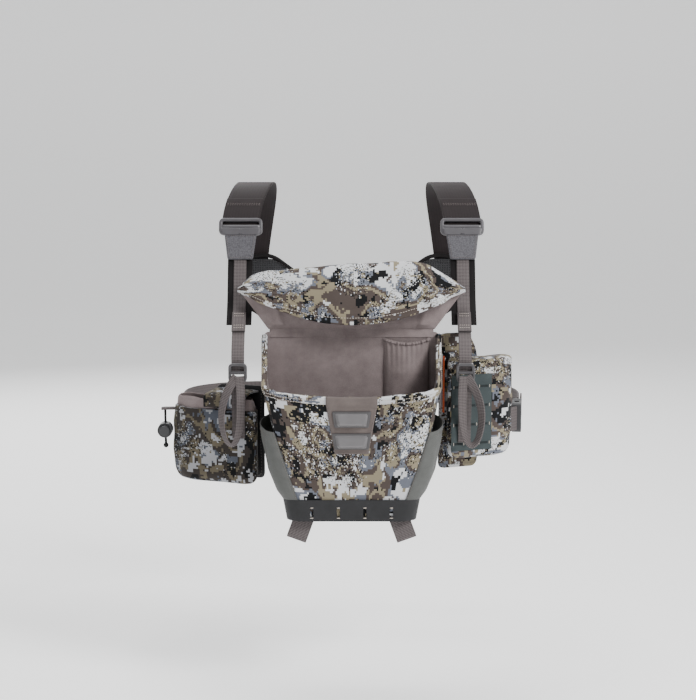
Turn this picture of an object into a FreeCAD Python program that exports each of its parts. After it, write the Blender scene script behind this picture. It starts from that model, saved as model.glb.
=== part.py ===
"""Binocular harness pack, as worn: chest pouch with its lid open, two side pouches, and a harness.

Millimetres. +X is to the viewer's right, the pack faces -Y, the wearer's back is at +Y, +Z is up.
The origin is the centre of the chest face of the main pouch's back.
"""

import FreeCAD, Part

import math
import os

V = FreeCAD.Vector

# ---- driving dimensions -------------------------------------------------------------------------
# main pouch: half widths and front faces at three heights
FOOT_Z, RIM_Z, HINGE_Z = -86.0, 46.0, 95.0
FOOT_HALF, RIM_HALF, HINGE_HALF = 62.0, 86.0, 88.0
FOOT_FRONT, RIM_FRONT = -62.0, -76.0
CORNER_R = 15.0
WALL = 2.5
RIM_DIP = 8.0
BACK_FACE = -6.0  # the pouch side of the back wall
LINING_Z = -83.5  # top of the floor

# lid, thrown open
LID_HINGE = (-6.5, 96.0)  # y, z of the fold between back wall and lid
LID_TOP = 156.0  # the fold between the lid's panel and its apron
LID_CORNER_HALF = 112.0
APRON_REACH, APRON_DROP = 24.0, 50.0  # forward and down from the fold

# wings and side pouches: the plans run round from the inner front corner
WING_ANGLE = 24.0
WING_T = 3.0
WING_END = (30.0, 26.0)  # length and half height of a wing's narrow outer end
WING_RIGHT = (76.0, -44.0, 93.0)  # reach, low and high edge
WING_LEFT = (94.0, -54.0, 40.0)
PLAN_RIGHT = [(95.5, -30), (152, -7), (162, 16), (154, 24.4), (95.5, -1.5)]
PLAN_LEFT = [(-94, -33), (-166, -4), (-181, 22), (-171, 32.4), (-94, -2.0)]
RIGHT_Z = (-30.0, 64.0)
LEFT_Z = (-56.0, 18.0)

# shock cord on the left pouch: where it leaves its eyelet, and its route down through the lock
CORD_D = 2.5
CORD_EXIT = (-189.5, 22.0, 12.0)
CORD_ROUTE = [(-189.5, 22, 12), (-189.5, 22, 4), (-189.2, 21.6, -5), (-189.4, 21.4, -14), (-189.1, 21.7, -22)]

# webbing widths and thicknesses
STRAP_W, STRAP_T = 38.0, 2.4
ELASTIC_W, ELASTIC_T = 25.0, 1.4
RISER_W, RISER_T = 12.7, 1.4
SIDE_W, SIDE_T = 25.0, 2.0
STRAP_X = 112.0  # each shoulder strap's centre line
LOCK_Y = (-43.0, -39.4)  # the ladder lock's front and back faces
LOOP_Y = -45.6  # the pull loop's middle plane
SIDE_START, SIDE_ANGLE = (170.0, 44.0), 84.0  # a side buckle's front end and the way it points
YOKE_Y = 226.2  # the yoke's inner face

# pieces of the two sides that are alike, small and fixed, and share one node
PAIRED = ("riser", "elastic", "ladder_lock", "slide_buckle")

# centre line of the shoulder strap, y and z, from the chest over the shoulder to the yoke
SHOULDER = [(41.6, 206.4), (58, 222), (88, 235), (126, 240), (172, 232), (208, 208), (231.8, 178), (231.8, 116)]
# centre line of the riser, y and z, from the ladder lock up to the slide buckle
RISER = [(-38.6, 57), (-38.0, 82), (2.5, 121), (11, 146), (28, 186)]
ELASTIC_OVERLAP = 27.0  # how far the elastic runs down the riser's slope
# centre line of a side strap after its first run, x and y, round the ribs to the yoke
SIDE = [(174, 192), (146, 220), (112, 231.9), (70, 232.3)]


# ---- shape helpers ------------------------------------------------------------------------------
def block(x0, x1, y0, y1, z0, z1):
    """A box between two corners."""
    return Part.makeBox(x1 - x0, y1 - y0, z1 - z0, V(x0, y0, z0))


def prism(points, along, start, end):
    """A polygon pushed along X, Y or Z; the points give the other two coordinates in X, Y, Z order."""
    place = {
        "x": lambda p: V(start, p[0], p[1]),
        "y": lambda p: V(p[0], start, p[1]),
        "z": lambda p: V(p[0], p[1], start),
    }[along]
    push = {"x": V(end - start, 0, 0), "y": V(0, end - start, 0), "z": V(0, 0, end - start)}[along]
    corners = [place(p) for p in points]
    face = Part.Face(Part.makePolygon(corners + corners[:1]))
    return face.extrude(push)


def soften(solid, radius, direction):
    """Round the straight edges that run along a direction."""
    edges = []
    for edge in solid.Edges:
        a, b = edge.Vertexes[0].Point, edge.Vertexes[-1].Point
        run = b.sub(a)
        if run.Length > 1e-6 and abs(abs(run.normalize().dot(direction)) - 1) < 1e-4:
            edges.append(edge)
    return solid.makeFillet(radius, edges)


def mirrored(solid):
    """The same piece on the other side of the centre plane."""
    return solid.mirror(V(0, 0, 0), V(1, 0, 0))


def offset_route(points, side):
    """A route moved sideways by a distance, with mitred corners."""
    count = len(points)
    moved = []
    for i, (u, v) in enumerate(points):
        before = points[max(i - 1, 0)]
        after = points[min(i + 1, count - 1)]
        arms = []
        for a, b in ((before, (u, v)), ((u, v), after)):
            length = math.hypot(b[0] - a[0], b[1] - a[1])
            if length > 0:
                arms.append((-(b[1] - a[1]) / length, (b[0] - a[0]) / length))
        nu = sum(n[0] for n in arms) / len(arms)
        nv = sum(n[1] for n in arms) / len(arms)
        square = nu * nu + nv * nv
        moved.append((u + side * nu / square, v + side * nv / square))
    return moved


def route_edges(points, radii, plane):
    """Straight runs joined by tangent arcs, in a plane, as a list of edges."""
    edges = []
    start = points[0]
    for i in range(1, len(points) - 1):
        (au, av), (bu, bv), (cu, cv) = points[i - 1], points[i], points[i + 1]
        in_len, out_len = math.hypot(bu - au, bv - av), math.hypot(cu - bu, cv - bv)
        iu, iv = (bu - au) / in_len, (bv - av) / in_len
        ou, ov = (cu - bu) / out_len, (cv - bv) / out_len
        turn = math.acos(max(-1, min(1, iu * ou + iv * ov)))
        cut = radii[i - 1] * math.tan(turn / 2)
        first, last = (bu - iu * cut, bv - iv * cut), (bu + ou * cut, bv + ov * cut)
        back = radii[i - 1] * (1 / math.cos(turn / 2) - 1)
        hu, hv = ou - iu, ov - iv
        span = math.hypot(hu, hv)
        middle = (bu + hu / span * back, bv + hv / span * back)
        edges.append(Part.LineSegment(plane(start), plane(first)).toShape())
        edges.append(Part.Arc(plane(first), plane(middle), plane(last)).toShape())
        start = last
    edges.append(Part.LineSegment(plane(start), plane(points[-1])).toShape())
    return edges


def route_radii(points):
    """The largest radii that a route's runs allow, and for each the side it turns to."""
    radii, turns = [], []
    for i in range(1, len(points) - 1):
        (au, av), (bu, bv), (cu, cv) = points[i - 1], points[i], points[i + 1]
        in_len, out_len = math.hypot(bu - au, bv - av), math.hypot(cu - bu, cv - bv)
        cross = ((bu - au) * (cv - bv) - (bv - av) * (cu - bu)) / (in_len * out_len)
        turn = math.asin(max(-1, min(1, abs(cross))))
        radii.append(0.45 * min(in_len, out_len) / math.tan(turn / 2))
        turns.append(1 if cross > 0 else -1)
    return radii, turns


def strap(points, thickness, plane, push, shift=0.0):
    """A flat strap: its thickness about a route, pushed sideways by its width.

    shift moves the whole strap to the left of its route, so that straps lie on one another.
    """
    radii, turns = route_radii(points)
    loops = []
    for side in (shift - thickness / 2, shift + thickness / 2):
        arcs = [r - t * side for r, t in zip(radii, turns)]
        loops.append((offset_route(points, side), arcs))
    (low, low_r), (high, high_r) = loops
    edges = route_edges(low, low_r, plane)
    edges.append(Part.LineSegment(plane(low[-1]), plane(high[-1])).toShape())
    edges += route_edges(high, high_r, plane)
    edges.append(Part.LineSegment(plane(high[0]), plane(low[0])).toShape())
    face = Part.Face(Part.Wire(Part.__sortEdges__(edges)))
    return face.extrude(push)


def upright_strap(points, thickness, centre_x, width, shift=0.0):
    """A strap whose route lies in a plane across X."""
    x0 = centre_x - width / 2
    return strap(points, thickness, lambda p: V(x0, p[0], p[1]), V(width, 0, 0), shift)


# ---- main pouch ---------------------------------------------------------------------------------
def pouch_section(z, grow, back):
    """The pouch's plan at a height: straight sides, a straight front and two round front corners."""
    if z <= RIM_Z:
        t = (z - FOOT_Z) / (RIM_Z - FOOT_Z)
        half = FOOT_HALF + t * (RIM_HALF - FOOT_HALF)
        front = FOOT_FRONT + t * (RIM_FRONT - FOOT_FRONT)
    else:
        t = (z - RIM_Z) / (HINGE_Z - RIM_Z)
        half = RIM_HALF + t * (HINGE_HALF - RIM_HALF)
        front = RIM_FRONT
    half, front, r = half + grow, front - grow, CORNER_R + grow
    q = r * (1 - math.sqrt(0.5))
    edges = [
        Part.LineSegment(V(half, back, z), V(half, front + r, z)),
        Part.Arc(V(half, front + r, z), V(half - q, front + q, z), V(half - r, front, z)),
        Part.LineSegment(V(half - r, front, z), V(r - half, front, z)),
        Part.Arc(V(r - half, front, z), V(q - half, front + q, z), V(-half, front + r, z)),
        Part.LineSegment(V(-half, front + r, z), V(-half, back, z)),
        Part.LineSegment(V(-half, back, z), V(half, back, z)),
    ]
    return Part.Wire([e.toShape() for e in edges])


def pouch_body(grow, low, back=BACK_FACE, high=HINGE_Z):
    """The pouch's outer form grown or shrunk by a distance, from one height to another."""
    heights = [low] + [z for z in (RIM_Z,) if low < z < high] + [high]
    return Part.makeLoft([pouch_section(z, grow, back) for z in heights], True, True)


def under_rim(drop):
    """The space under the pouch's mouth: a dip across the front, then a slope up to the lid's hinge."""
    sagitta_r = (RIM_HALF**2 + RIM_DIP**2) / (2 * RIM_DIP)
    low = block(-200, 200, -200, 20, -200, HINGE_Z - 3 - drop)
    dip = Part.makeCylinder(sagitta_r, 200, V(0, -200, RIM_Z - RIM_DIP - drop + sagitta_r), V(0, 1, 0))
    front = low.cut(dip)
    slope = [(-200, -200), (20, -200), (20, 92 - drop), (-10, 92 - drop)]
    slope += [(-58, RIM_Z + 6 - drop), (-66, RIM_Z - drop), (-200, RIM_Z - drop)]
    side = prism(slope, "x", -200, 200)
    inside = block(-RIM_HALF + CORNER_R, RIM_HALF - CORNER_R, -200, -30, -200, 200)
    return side.cut(inside).fuse(front.common(block(-200, 200, -200, -30, -200, 200))).common(side)


def front_zone():
    """The space that the front panel takes, with a plane leaning as the front does behind it."""
    return prism([(-200, -120), (-46, -120), (-60, RIM_Z), (-60, 120), (-200, 120)], "x", -200, 200)


def on_front(solid):
    """A piece made against a front at y = 0, laid on the pouch's leaning front face."""
    lean = math.degrees(math.atan2(FOOT_FRONT - RIM_FRONT, RIM_Z - FOOT_Z))
    solid = solid.copy()
    solid.rotate(V(0, 0, 0), V(1, 0, 0), lean)
    face_y = RIM_FRONT + (FOOT_FRONT - RIM_FRONT) * RIM_Z / (RIM_Z - FOOT_Z)
    solid.translate(V(0, face_y, 0))
    return solid


def pouch_walls():
    """Front, gussets and floor, cut from one shell so that they meet face to face."""
    shell = pouch_body(0, FOOT_Z).cut(pouch_body(-WALL, LINING_Z))
    floor = shell.common(block(-200, 200, -200, 200, -200, LINING_Z))
    walls = shell.common(under_rim(0)).common(block(-200, 200, -200, 200, LINING_Z, 200))
    front = walls.common(front_zone())
    sides = walls.cut(front_zone())
    return {
        "front_panel": front,
        "gusset_left": sides.common(block(-200, 0, -200, 50, -200, 200)),
        "gusset_right": sides.common(block(0, 200, -200, 50, -200, 200)),
        "base_floor": floor,
    }


def rim_binding():
    """Hem round the mouth: a band 4 mm deep on both sides of the wall and over its edge."""
    thick = pouch_body(1.1, 20).cut(pouch_body(-WALL - 1.1, 19))
    band = thick.common(under_rim(-1.2)).cut(under_rim(4))
    return band.cut(pouch_body(0, FOOT_Z).cut(pouch_body(-WALL, LINING_Z)).common(under_rim(0)))


def base_band():
    """Laminate band round the foot with four upright slots cut through it."""
    low, high = FOOT_Z + 0.5, FOOT_Z + 22
    band = pouch_body(1.8, low, high=high).cut(pouch_body(0, low - 1, high=high + 1))
    for i in range(4):
        x = (i - 1.5) * 26
        band = band.cut(block(x - 1.6, x + 1.6, -90, -40, FOOT_Z + 5, FOOT_Z + 13))
    return band


def back_parts():
    """Padded back, stiffener sheet and spacer mesh, in layers out to the chest face."""
    outline = [(-64, FOOT_Z), (64, FOOT_Z), (HINGE_HALF, RIM_Z), (HINGE_HALF, HINGE_Z - 4)]
    outline += [(HINGE_HALF - 4, HINGE_Z), (4 - HINGE_HALF, HINGE_Z)]
    outline += [(-HINGE_HALF, HINGE_Z - 4), (-HINGE_HALF, RIM_Z)]
    inner = [(x * 0.9, z * 0.9) for x, z in outline]
    sheet = prism(inner, "y", -3.2, -2.0)
    return {
        "back_panel": prism(outline, "y", BACK_FACE, -2.0).cut(sheet),
        "frame_sheet": sheet,
        "back_mesh": prism(outline, "y", -2.0, 0),
    }


def stretch_pocket():
    """Stretch-fabric pocket on the right gusset, open at the top, narrowing to the foot."""
    def grown(at_top, at_foot):
        sections = []
        for z, grow in ((-62, at_foot), (6, at_top)):
            sections.append(pouch_section(z, grow, -10))
        return Part.makeLoft(sections, True, True)

    zone = block(30, 200, -57, -14, -63, 6)
    inside = block(30, 200, -55, -16, -60, 10)
    wall = grown(12.0, 3.0).common(zone).cut(grown(10.4, 1.4).common(inside))
    return wall.cut(pouch_body(0, FOOT_Z))


def placket_and_cleats():
    """Trapezoid of stretch fabric, and two ramps on it that the lid's hook catches."""
    placket = prism([(-17, -17), (17, -17), (25, 33), (-25, 33)], "y", -1.2, 0)
    parts = {"placket": on_front(placket)}
    for name, top in (("cleat_upper", 24), ("cleat_lower", 2)):
        ramp = [(-1.2, top), (-3.0, top), (-6.4, top - 9), (-6.4, top - 11), (-1.2, top - 13)]
        cleat = prism(ramp, "x", -18, 18)
        sides = prism([(-15.5, top - 14), (15.5, top - 14), (18, top + 1), (-18, top + 1)], "y", -20, 5)
        parts[name] = on_front(cleat.common(sides))
    return parts


def inner_pocket():
    """Elastic-topped pocket on the inside of the back wall, to the right of the middle."""
    pocket = soften(block(32, 78, -15, BACK_FACE, 12, 84), 5, V(0, 1, 0))
    pocket = pocket.cut(block(33.5, 76.5, -13.5, BACK_FACE, 14, 90))
    hem = block(33.5, 76.5, -16.6, -15, 78, 85).fuse(block(33.5, 76.5, -16.6, -13.6, 84, 86))
    return {"inner_pocket": pocket, "inner_pocket_hem": hem}


def bottom_tab():
    """Folded webbing tab under the right end of the foot, turned outwards."""
    tab = soften(block(-10, 10, -1.6, 1.6, -22, 0), 1.5, V(1, 0, 0))
    tab = tab.cut(block(-11, 11, -0.5, 0.5, -19, -7))
    tab.rotate(V(0, 0, 0), V(0, 1, 0), -20)
    tab.translate(V(47, -54, FOOT_Z + 2))
    return tab.cut(pouch_body(1.9, FOOT_Z - 1, high=FOOT_Z + 30))


def zip_parts():
    """Zip up the right gusset behind its pocket: tape, slider at the top, and a long flat pull."""
    tape = pouch_body(0.9, -14).cut(pouch_body(0, FOOT_Z)).common(block(60, 120, -13, BACK_FACE, -14, 76))
    x, pin_z = RIM_HALF + 2.5, 68.4
    slider = soften(block(x, x + 2.1, -12.4, -6.4, 65, 74), 1, V(1, 0, 0))
    slider = slider.fuse(Part.makeCylinder(0.9, 5.0, V(x + 0.5, -9.4, pin_z), V(1, 0, 0)))
    pull = soften(block(x + 2.6, x + 4.6, -12.0, -6.8, 14, 71.5), 1.5, V(1, 0, 0))
    pull = pull.cut(Part.makeCylinder(1.3, 10, V(x, -9.4, pin_z), V(1, 0, 0)))
    return {"zip_tape": tape, "zip_slider": slider, "zip_pull": pull}


# ---- lid ----------------------------------------------------------------------------------------
def lid_parts():
    """Stiff lid panel standing up from the hinge, with its sheet, lining, soft apron and hook."""
    y, z = LID_HINGE
    half = HINGE_HALF - 5
    outline = [(-half, z + 1.5), (half, z + 1.5), (LID_CORNER_HALF, 136), (98, 149), (0, LID_TOP)]
    outline += [(-98, 149), (-LID_CORNER_HALF, 136)]
    small = [(x * 0.86, 99 + (h - 97.5) * 0.8) for x, h in outline]
    sheet = prism(small, "y", y + 1.8, y + 2.8)
    panel = prism(outline, "y", y + 1.2, y + 4.4).cut(sheet)
    lining = prism([(x * 0.985, 98 + (h - 97.5) * 0.96) for x, h in outline], "y", y, y + 1.2)
    return {"lid_panel": panel, "lid_stiffener": sheet, "lid_lining": lining}


def lid_apron():
    """The apron: a bowed sheet that falls forward from the lid's top fold, deepest in the middle."""
    y, z = LID_HINGE[0] + 1.0, LID_TOP + 2.2
    end = (y - APRON_REACH, z - APRON_DROP)
    route = [(y + 1.2, z + 1.2), (y - 8.8, z - 1.2), (y - 19, z - 18), end]
    sheet = upright_strap(route, 2.4, 0, 2 * LID_CORNER_HALF - 4)
    rise = (LID_CORNER_HALF**2 + 20**2) / (2 * 20)
    top = Part.makeCylinder(rise, 120, V(0, -80, z + 3 - rise), V(0, 1, 0))
    drop = (LID_CORNER_HALF**2 + 36**2) / (2 * 36)
    low = Part.makeCylinder(drop, 120, V(0, -80, end[1] - 1 + drop), V(0, 1, 0))
    sheet = sheet.common(top).common(low)
    hook = prism([(-11, end[1] + 2), (11, end[1] + 2), (14, end[1] + 17), (-14, end[1] + 17)], "y", -60, 0)
    plate = upright_strap(route, 2.0, 0, 40, 2.6).common(hook)
    return {"lid_flap": sheet, "flap_hook": plate}


# ---- wings and side pouches ---------------------------------------------------------------------
def wing(reach, low, high):
    """Laminate wing on the right, from the back's edge out along the ribs, with its buckle webbing."""
    c, s = math.cos(math.radians(WING_ANGLE)), math.sin(math.radians(WING_ANGLE))
    x0, y0 = HINGE_HALF, -4.0
    plan = [(x0, y0), (x0 + reach * c, y0 + reach * s)]
    plan += [(x0 + reach * c - WING_T * s, y0 + reach * s + WING_T * c), (x0, y0 + WING_T)]
    body = prism(plan, "z", low, high)
    narrow, half = x0 + reach * c - WING_END[0], WING_END[1]
    body = body.cut(block(narrow, 300, -50, 200, half, 200))
    body = body.cut(block(narrow, 300, -50, 200, -200, -half))
    body = body.cut(prism([(narrow - 10, high + 1), (narrow + 1, high + 1), (narrow + 1, high - 17)], "y", -50, 200))
    end_x, end_y = x0 + reach * c, y0 + reach * s
    route = [(end_x - 8 * c - s, end_y - 8 * s + c), (end_x + s, end_y + c), (SIDE_START[0], SIDE_START[1] - 0.5)]
    z0 = -SIDE_W / 2
    return body.fuse(strap(route, 1.6, lambda p: V(p[0], p[1], z0), V(0, 0, SIDE_W)))


def inset_prism(solid, inset, low, high):
    """A plan's outline moved inwards by a distance and pushed from one height to another."""
    top = max(solid.Faces, key=lambda f: f.CenterOfMass.z)
    wire = top.OuterWire.makeOffset2D(-inset)
    if Part.Face(wire).Area > top.Area:
        wire = top.OuterWire.makeOffset2D(inset)
    wire.translate(V(0, 0, low - top.CenterOfMass.z))
    return Part.Face(wire).extrude(V(0, 0, high - low))


def side_pouches():
    """The two side pouches' bodies, the left one's collar and the right one's laminate front."""
    right = soften(prism(PLAN_RIGHT, "z", *RIGHT_Z), 4, V(0, 0, 1))
    left = soften(prism(PLAN_LEFT, "z", *LEFT_Z), 4, V(0, 0, 1))
    wall = 1.6
    collar = inset_prism(left, wall, LEFT_Z[1] - 8, LEFT_Z[1] + 11)
    collar = collar.cut(inset_prism(left, wall + 1.2, LEFT_Z[1] - 9, LEFT_Z[1] + 12))
    (x0, y0), (x1, y1) = PLAN_RIGHT[:2]
    slab = [(x0, y0), (x1, y1), (x1 - 0.5, y1 - 1.3), (x0 - 0.5, y0 - 1.3)]
    panel = prism(slab, "z", -22, 54).common(block(99, 140, -60, 10, -22, 54))
    for row in range(4):
        z = 42 - 19 * row
        for i in range(3):
            x = 106 + 13 * i
            panel = panel.cut(block(x - 4, x + 4, -60, 20, z - 1.2, z + 1.2))
    hollow = inset_prism(right, wall, RIGHT_Z[0] + wall, RIGHT_Z[1] + 1)
    return {
        "pouch_right_shell": right.cut(hollow),
        "pouch_left_shell": left.cut(inset_prism(left, wall, LEFT_Z[0] + wall, LEFT_Z[1] + 1)),
        "pouch_left_collar": collar,
        "pouch_right_panel": panel,
    }


def on_wing(solid):
    """A piece made with x along the right wing and y = 0 on the wing's face, turned into place."""
    solid = solid.copy()
    solid.rotate(V(0, 0, 0), V(0, 0, 1), WING_ANGLE)
    solid.translate(V(HINGE_HALF, -4, 0))
    return solid


def pouch_flap(start, end, depth, top, lip):
    """A side pouch's flap on the right: a top that slopes a little to the front, and a lip there."""
    profile = [(-1.6, top), (-depth, top - 4), (-depth - 1.6, top - 4 - lip), (-depth - 3.2, top - 4 - lip)]
    profile += [(-depth - 1.8, top - 2.2), (-1.6, top + 1.8)]
    return prism(profile, "x", start, end)


def flaps():
    """Both side pouches' flaps."""
    right = on_wing(pouch_flap(4, 74, 29.5, RIGHT_Z[1] + 5.5, 5))
    right = right.cut(block(0, PLAN_RIGHT[0][0] - 0.5, -100, 100, -200, 200))
    left = on_wing(pouch_flap(5, 50, 31.5, LEFT_Z[1] + 16.5, 9))
    left = left.cut(block(0, HINGE_HALF + 2.2, -100, 100, -200, 200))
    return {"pouch_right_flap": right, "pouch_left_flap": mirrored(left)}


def cord_lock():
    """Eyelet tab, shock cord and a barrel cord lock on the left pouch's outer corner."""
    x, y, z = CORD_EXIT
    tab = block(x - 4, x + 12, y - 4, y + 4, z, z + 3)
    tab = tab.cut(soften(prism(PLAN_LEFT, "z", *LEFT_Z), 4, V(0, 0, 1)))
    cx, cy, cz = x, y, z - 20
    body = Part.makeCylinder(7.5, 15, V(cx, cy - 8, cz), V(0, 1, 0))
    body = body.cut(Part.makeCylinder(5.6, 12.5, V(cx, cy - 8, cz), V(0, 1, 0)))
    hole = Part.makeCylinder(2.6, 30, V(cx, cy - 1, cz - 15), V(0, 0, 1))
    button = Part.makeCylinder(5.2, 12, V(cx, cy - 13.5, cz), V(0, 1, 0))
    slot = block(cx - 2.6, cx + 2.6, cy - 7.6, cy + 2, cz - 15, cz + 15)
    spring = Part.makeCylinder(4.6, 2.4, V(cx, cy + 1.9, cz), V(0, 1, 0))
    spring = spring.cut(Part.makeCylinder(3.6, 2.4, V(cx, cy + 1.9, cz), V(0, 1, 0)))
    return {
        "cord_eyelet": tab,
        "cord_lock_body": body.cut(hole),
        "cord_lock_button": button.cut(slot),
        "cord_lock_spring": spring,
    }


def shock_cord():
    """The shock cord: straight runs joined by arcs, down through the lock, with a knot at its end."""
    points = [V(*p) for p in CORD_ROUTE]
    edges, start = [], points[0]
    for i in range(1, len(points) - 1):
        run_in, run_out = points[i].sub(points[i - 1]), points[i + 1].sub(points[i])
        turn = run_in.getAngle(run_out)
        radius = 0.45 * min(run_in.Length, run_out.Length) / math.tan(turn / 2)
        print("cord arc radius", round(radius, 1))
        cut = radius * math.tan(turn / 2)
        ahead, behind = V(run_out).normalize(), V(run_in).normalize()
        first, last = points[i].sub(behind * cut), points[i].add(ahead * cut)
        inwards = ahead.sub(behind).normalize()
        middle = points[i].add(inwards * (radius * (1 / math.cos(turn / 2) - 1)))
        edges.append(Part.LineSegment(start, first).toShape())
        edges.append(Part.Arc(first, middle, last).toShape())
        start = last
    edges.append(Part.LineSegment(start, points[-1]).toShape())
    path = Part.Wire(edges)
    ring = Part.Wire(Part.Circle(points[0], points[1].sub(points[0]), CORD_D / 2).toShape())
    tube = path.makePipeShell([ring], True, False)
    print("cord length", round(path.Length, 1), "volume over section", round(tube.Volume / ring_area(), 1))
    end = points[-1]
    knot = Part.makeSphere(2.6, end.sub(V(0, 0, 2.2)))
    knot = knot.cut(tube)
    return {"shock_cord": tube, "cord_knot": knot}


def ring_area():
    """The shock cord's cross-section."""
    return math.pi * CORD_D**2 / 4


# ---- harness ------------------------------------------------------------------------------------
def harness_side():
    """The right shoulder's strap, buckle, patch, elastic, riser, ladder lock, anchor and pull loop."""
    x = STRAP_X
    riser_top = RISER[2:]
    (low_y, low_z), (high_y, high_z) = RISER[1:3]
    share = ELASTIC_OVERLAP / math.hypot(low_y - high_y, low_z - high_z)
    elastic_start = (high_y + share * (low_y - high_y), high_z + share * (low_z - high_z))
    elastic_route = [elastic_start] + RISER[2:]
    parts = {
        "shoulder_strap": upright_strap(SHOULDER, STRAP_T, x, STRAP_W),
        "riser": upright_strap(RISER, RISER_T, x, RISER_W),
        "elastic": upright_strap(elastic_route, ELASTIC_T, x, ELASTIC_W, -RISER_T),
    }
    (ay, az), (by, bz) = riser_top[-2], riser_top[-1]
    length = math.hypot(by - ay, bz - az)
    uy, uz = (by - ay) / length, (bz - az) / length

    def along(solid):
        """A piece made lying along +Z at the riser's top end, turned to the riser's slope."""
        solid = solid.copy()
        solid.rotate(V(0, 0, 0), V(1, 0, 0), -math.degrees(math.atan2(uy, uz)))
        solid.translate(V(x, by, bz))
        return solid

    front = -RISER_T / 2
    patch = prism([(-13, -23), (13, -23), (16.5, 3), (-16.5, 3)], "y", front - 1.8, front)
    buckle = soften(block(-22, 22, -2.8, 2.2, 3.5, 21.5), 3, V(0, 1, 0))
    for low in (6.5, 14.2):
        buckle = buckle.cut(block(-19.2, 19.2, -10, 10, low, low + 3.8))
    parts["buckle_patch"] = along(patch)
    parts["slide_buckle"] = along(buckle)

    y0, y1 = LOCK_Y
    lock = soften(block(x - 8.8, x + 8.8, y0, y1, 49, 68), 2.5, V(0, 1, 0))
    for low in (51.8, 60.0):
        lock = lock.cut(block(x - 6.8, x + 6.8, y0 - 5, y1 + 5, low, low + 4.6))
    parts["ladder_lock"] = lock
    return parts


def anchor(front_y, low):
    """Webbing from the right ladder lock's foot down to where it is sewn on a pouch's front."""
    top = 48.8
    route = [(-41.2, top), (-41.4, top - 12.8), (-36.5, (top + low) / 2 + 1), (front_y, low + 14), (front_y, low)]
    return upright_strap(route, RISER_T, STRAP_X, RISER_W)


def pull_loop():
    """The right pull loop: webbing that falls from the ladder lock, turns and comes back up."""
    x, y = STRAP_X, LOOP_Y
    outer = [(x - 6, 56), (x + 6, 56), (x + 17, 36), (x + 20, 12), (x + 17, -9), (x + 9, -17)]
    outer += [(x + 1, -12), (x - 5, 8)]
    inner = [(x + 2, 38), (x + 6, 36), (x + 11, 12), (x + 9.5, -4), (x + 8, -7), (x + 4.5, -3), (x + 2.5, 10)]
    return prism(outer, "y", y - 1, y + 1).cut(prism(inner, "y", y - 2, y + 2))


def at_side(solid):
    """A piece made with x along the right side strap's first run, turned into place."""
    solid = solid.copy()
    solid.rotate(V(0, 0, 0), V(0, 0, 1), SIDE_ANGLE)
    solid.translate(V(SIDE_START[0], SIDE_START[1], 0))
    return solid


def side_buckle():
    """Side release buckle: the socket on the wing's end and the plug on the strap."""
    socket = soften(block(0, 28, -4.6, 4.6, -15, 15), 3, V(0, 1, 0))
    socket = socket.cut(block(7, 30, -3, 3, -12, 12))
    socket = socket.cut(block(1.8, 4.4, -10, 10, -12.8, 12.8))
    socket = socket.cut(block(12, 20, -2.4, 2.4, -16, 16))
    plug = soften(block(28.5, 38, -4.2, 4.2, -15, 15), 2, V(0, 1, 0))
    plug = plug.cut(block(32.5, 35.3, -10, 10, -12.8, 12.8))
    upper = block(12.5, 28.5, -2.3, 2.3, 6.2, 9.4).fuse(block(12.5, 19.5, -2.3, 2.3, 9.4, 11.5))
    plug = plug.fuse(upper).fuse(upper.mirror(V(0, 0, 0), V(0, 0, 1)))
    tail = block(38, 96, -3.9, -1.9, -SIDE_W / 2, SIDE_W / 2)
    return {"buckle_socket": at_side(socket), "buckle_plug": at_side(plug), "plug_webbing": at_side(tail)}


def side_strap():
    """The right side strap, from inside the plug's doubled webbing round the ribs to the yoke."""
    c, s = math.cos(math.radians(SIDE_ANGLE)), math.sin(math.radians(SIDE_ANGLE))
    first = [(SIDE_START[0] + u * c, SIDE_START[1] + u * s) for u in (62, 112)]
    z0 = -SIDE_W / 2
    return strap(first + SIDE, SIDE_T, lambda p: V(p[0], p[1], z0), V(0, 0, SIDE_W))


def yoke():
    """Padded yoke on the back: a cross with two arms up to the shoulders and two down to the sides."""
    right = [(0, 112), (30, 112), (90, 156), (132, 150), (120, 100), (62, 62), (60, 42), (94, 16), (94, -18)]
    right += [(64, -20), (22, 16), (0, 20)]
    outline = right + [(-x, z) for x, z in right[::-1] if x > 0]
    return prism(outline, "y", YOKE_Y, YOKE_Y + 4.2)


# ---- hand over ----------------------------------------------------------------------------------
def main():
    parts = {}
    parts.update(pouch_walls())
    parts["rim_binding"] = rim_binding()
    parts["base_band"] = base_band()
    parts.update(back_parts())
    parts["stretch_pocket_right"] = stretch_pocket()
    parts["stretch_pocket_left"] = mirrored(stretch_pocket())
    parts.update(placket_and_cleats())
    parts.update(inner_pocket())
    parts["bottom_tabs"] = Part.makeCompound([bottom_tab(), mirrored(bottom_tab())])
    parts.update(zip_parts())
    parts.update(lid_parts())
    parts.update(lid_apron())
    parts["wing_right"] = wing(*WING_RIGHT)
    parts["wing_left"] = mirrored(wing(*WING_LEFT))
    parts.update(side_pouches())
    parts.update(flaps())
    parts.update(cord_lock())
    parts.update(shock_cord())
    side = harness_side()
    side.update(side_buckle())
    side["side_strap"] = side_strap()
    side["pull_loop"] = pull_loop()
    for name, shape in side.items():
        if name in PAIRED:
            parts[name + "s"] = Part.makeCompound([shape, mirrored(shape)])
        else:
            parts[name + "_right"] = shape
            parts[name + "_left"] = mirrored(shape)
    parts["lock_anchors"] = Part.makeCompound([anchor(-28.3, 2), mirrored(anchor(-29.4, -14))])
    parts["yoke"] = yoke()
    os.makedirs("parts", exist_ok=True)
    for name, shape in parts.items():
        solids = shape.Solids
        print(name, len(solids), round(shape.Volume, 1), shape.isValid())
        shape.exportStep("parts/" + name + ".step")


main()
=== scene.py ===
"""Binocular harness pack: the looks of a chest pouch, its side pouches and its harness.

Every length is in metres unless a name ends in _mm. +X is to the viewer's right, the pack faces -Y
and +Z is up; the origin is the centre of the chest face of the main pouch's back.
"""

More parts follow.
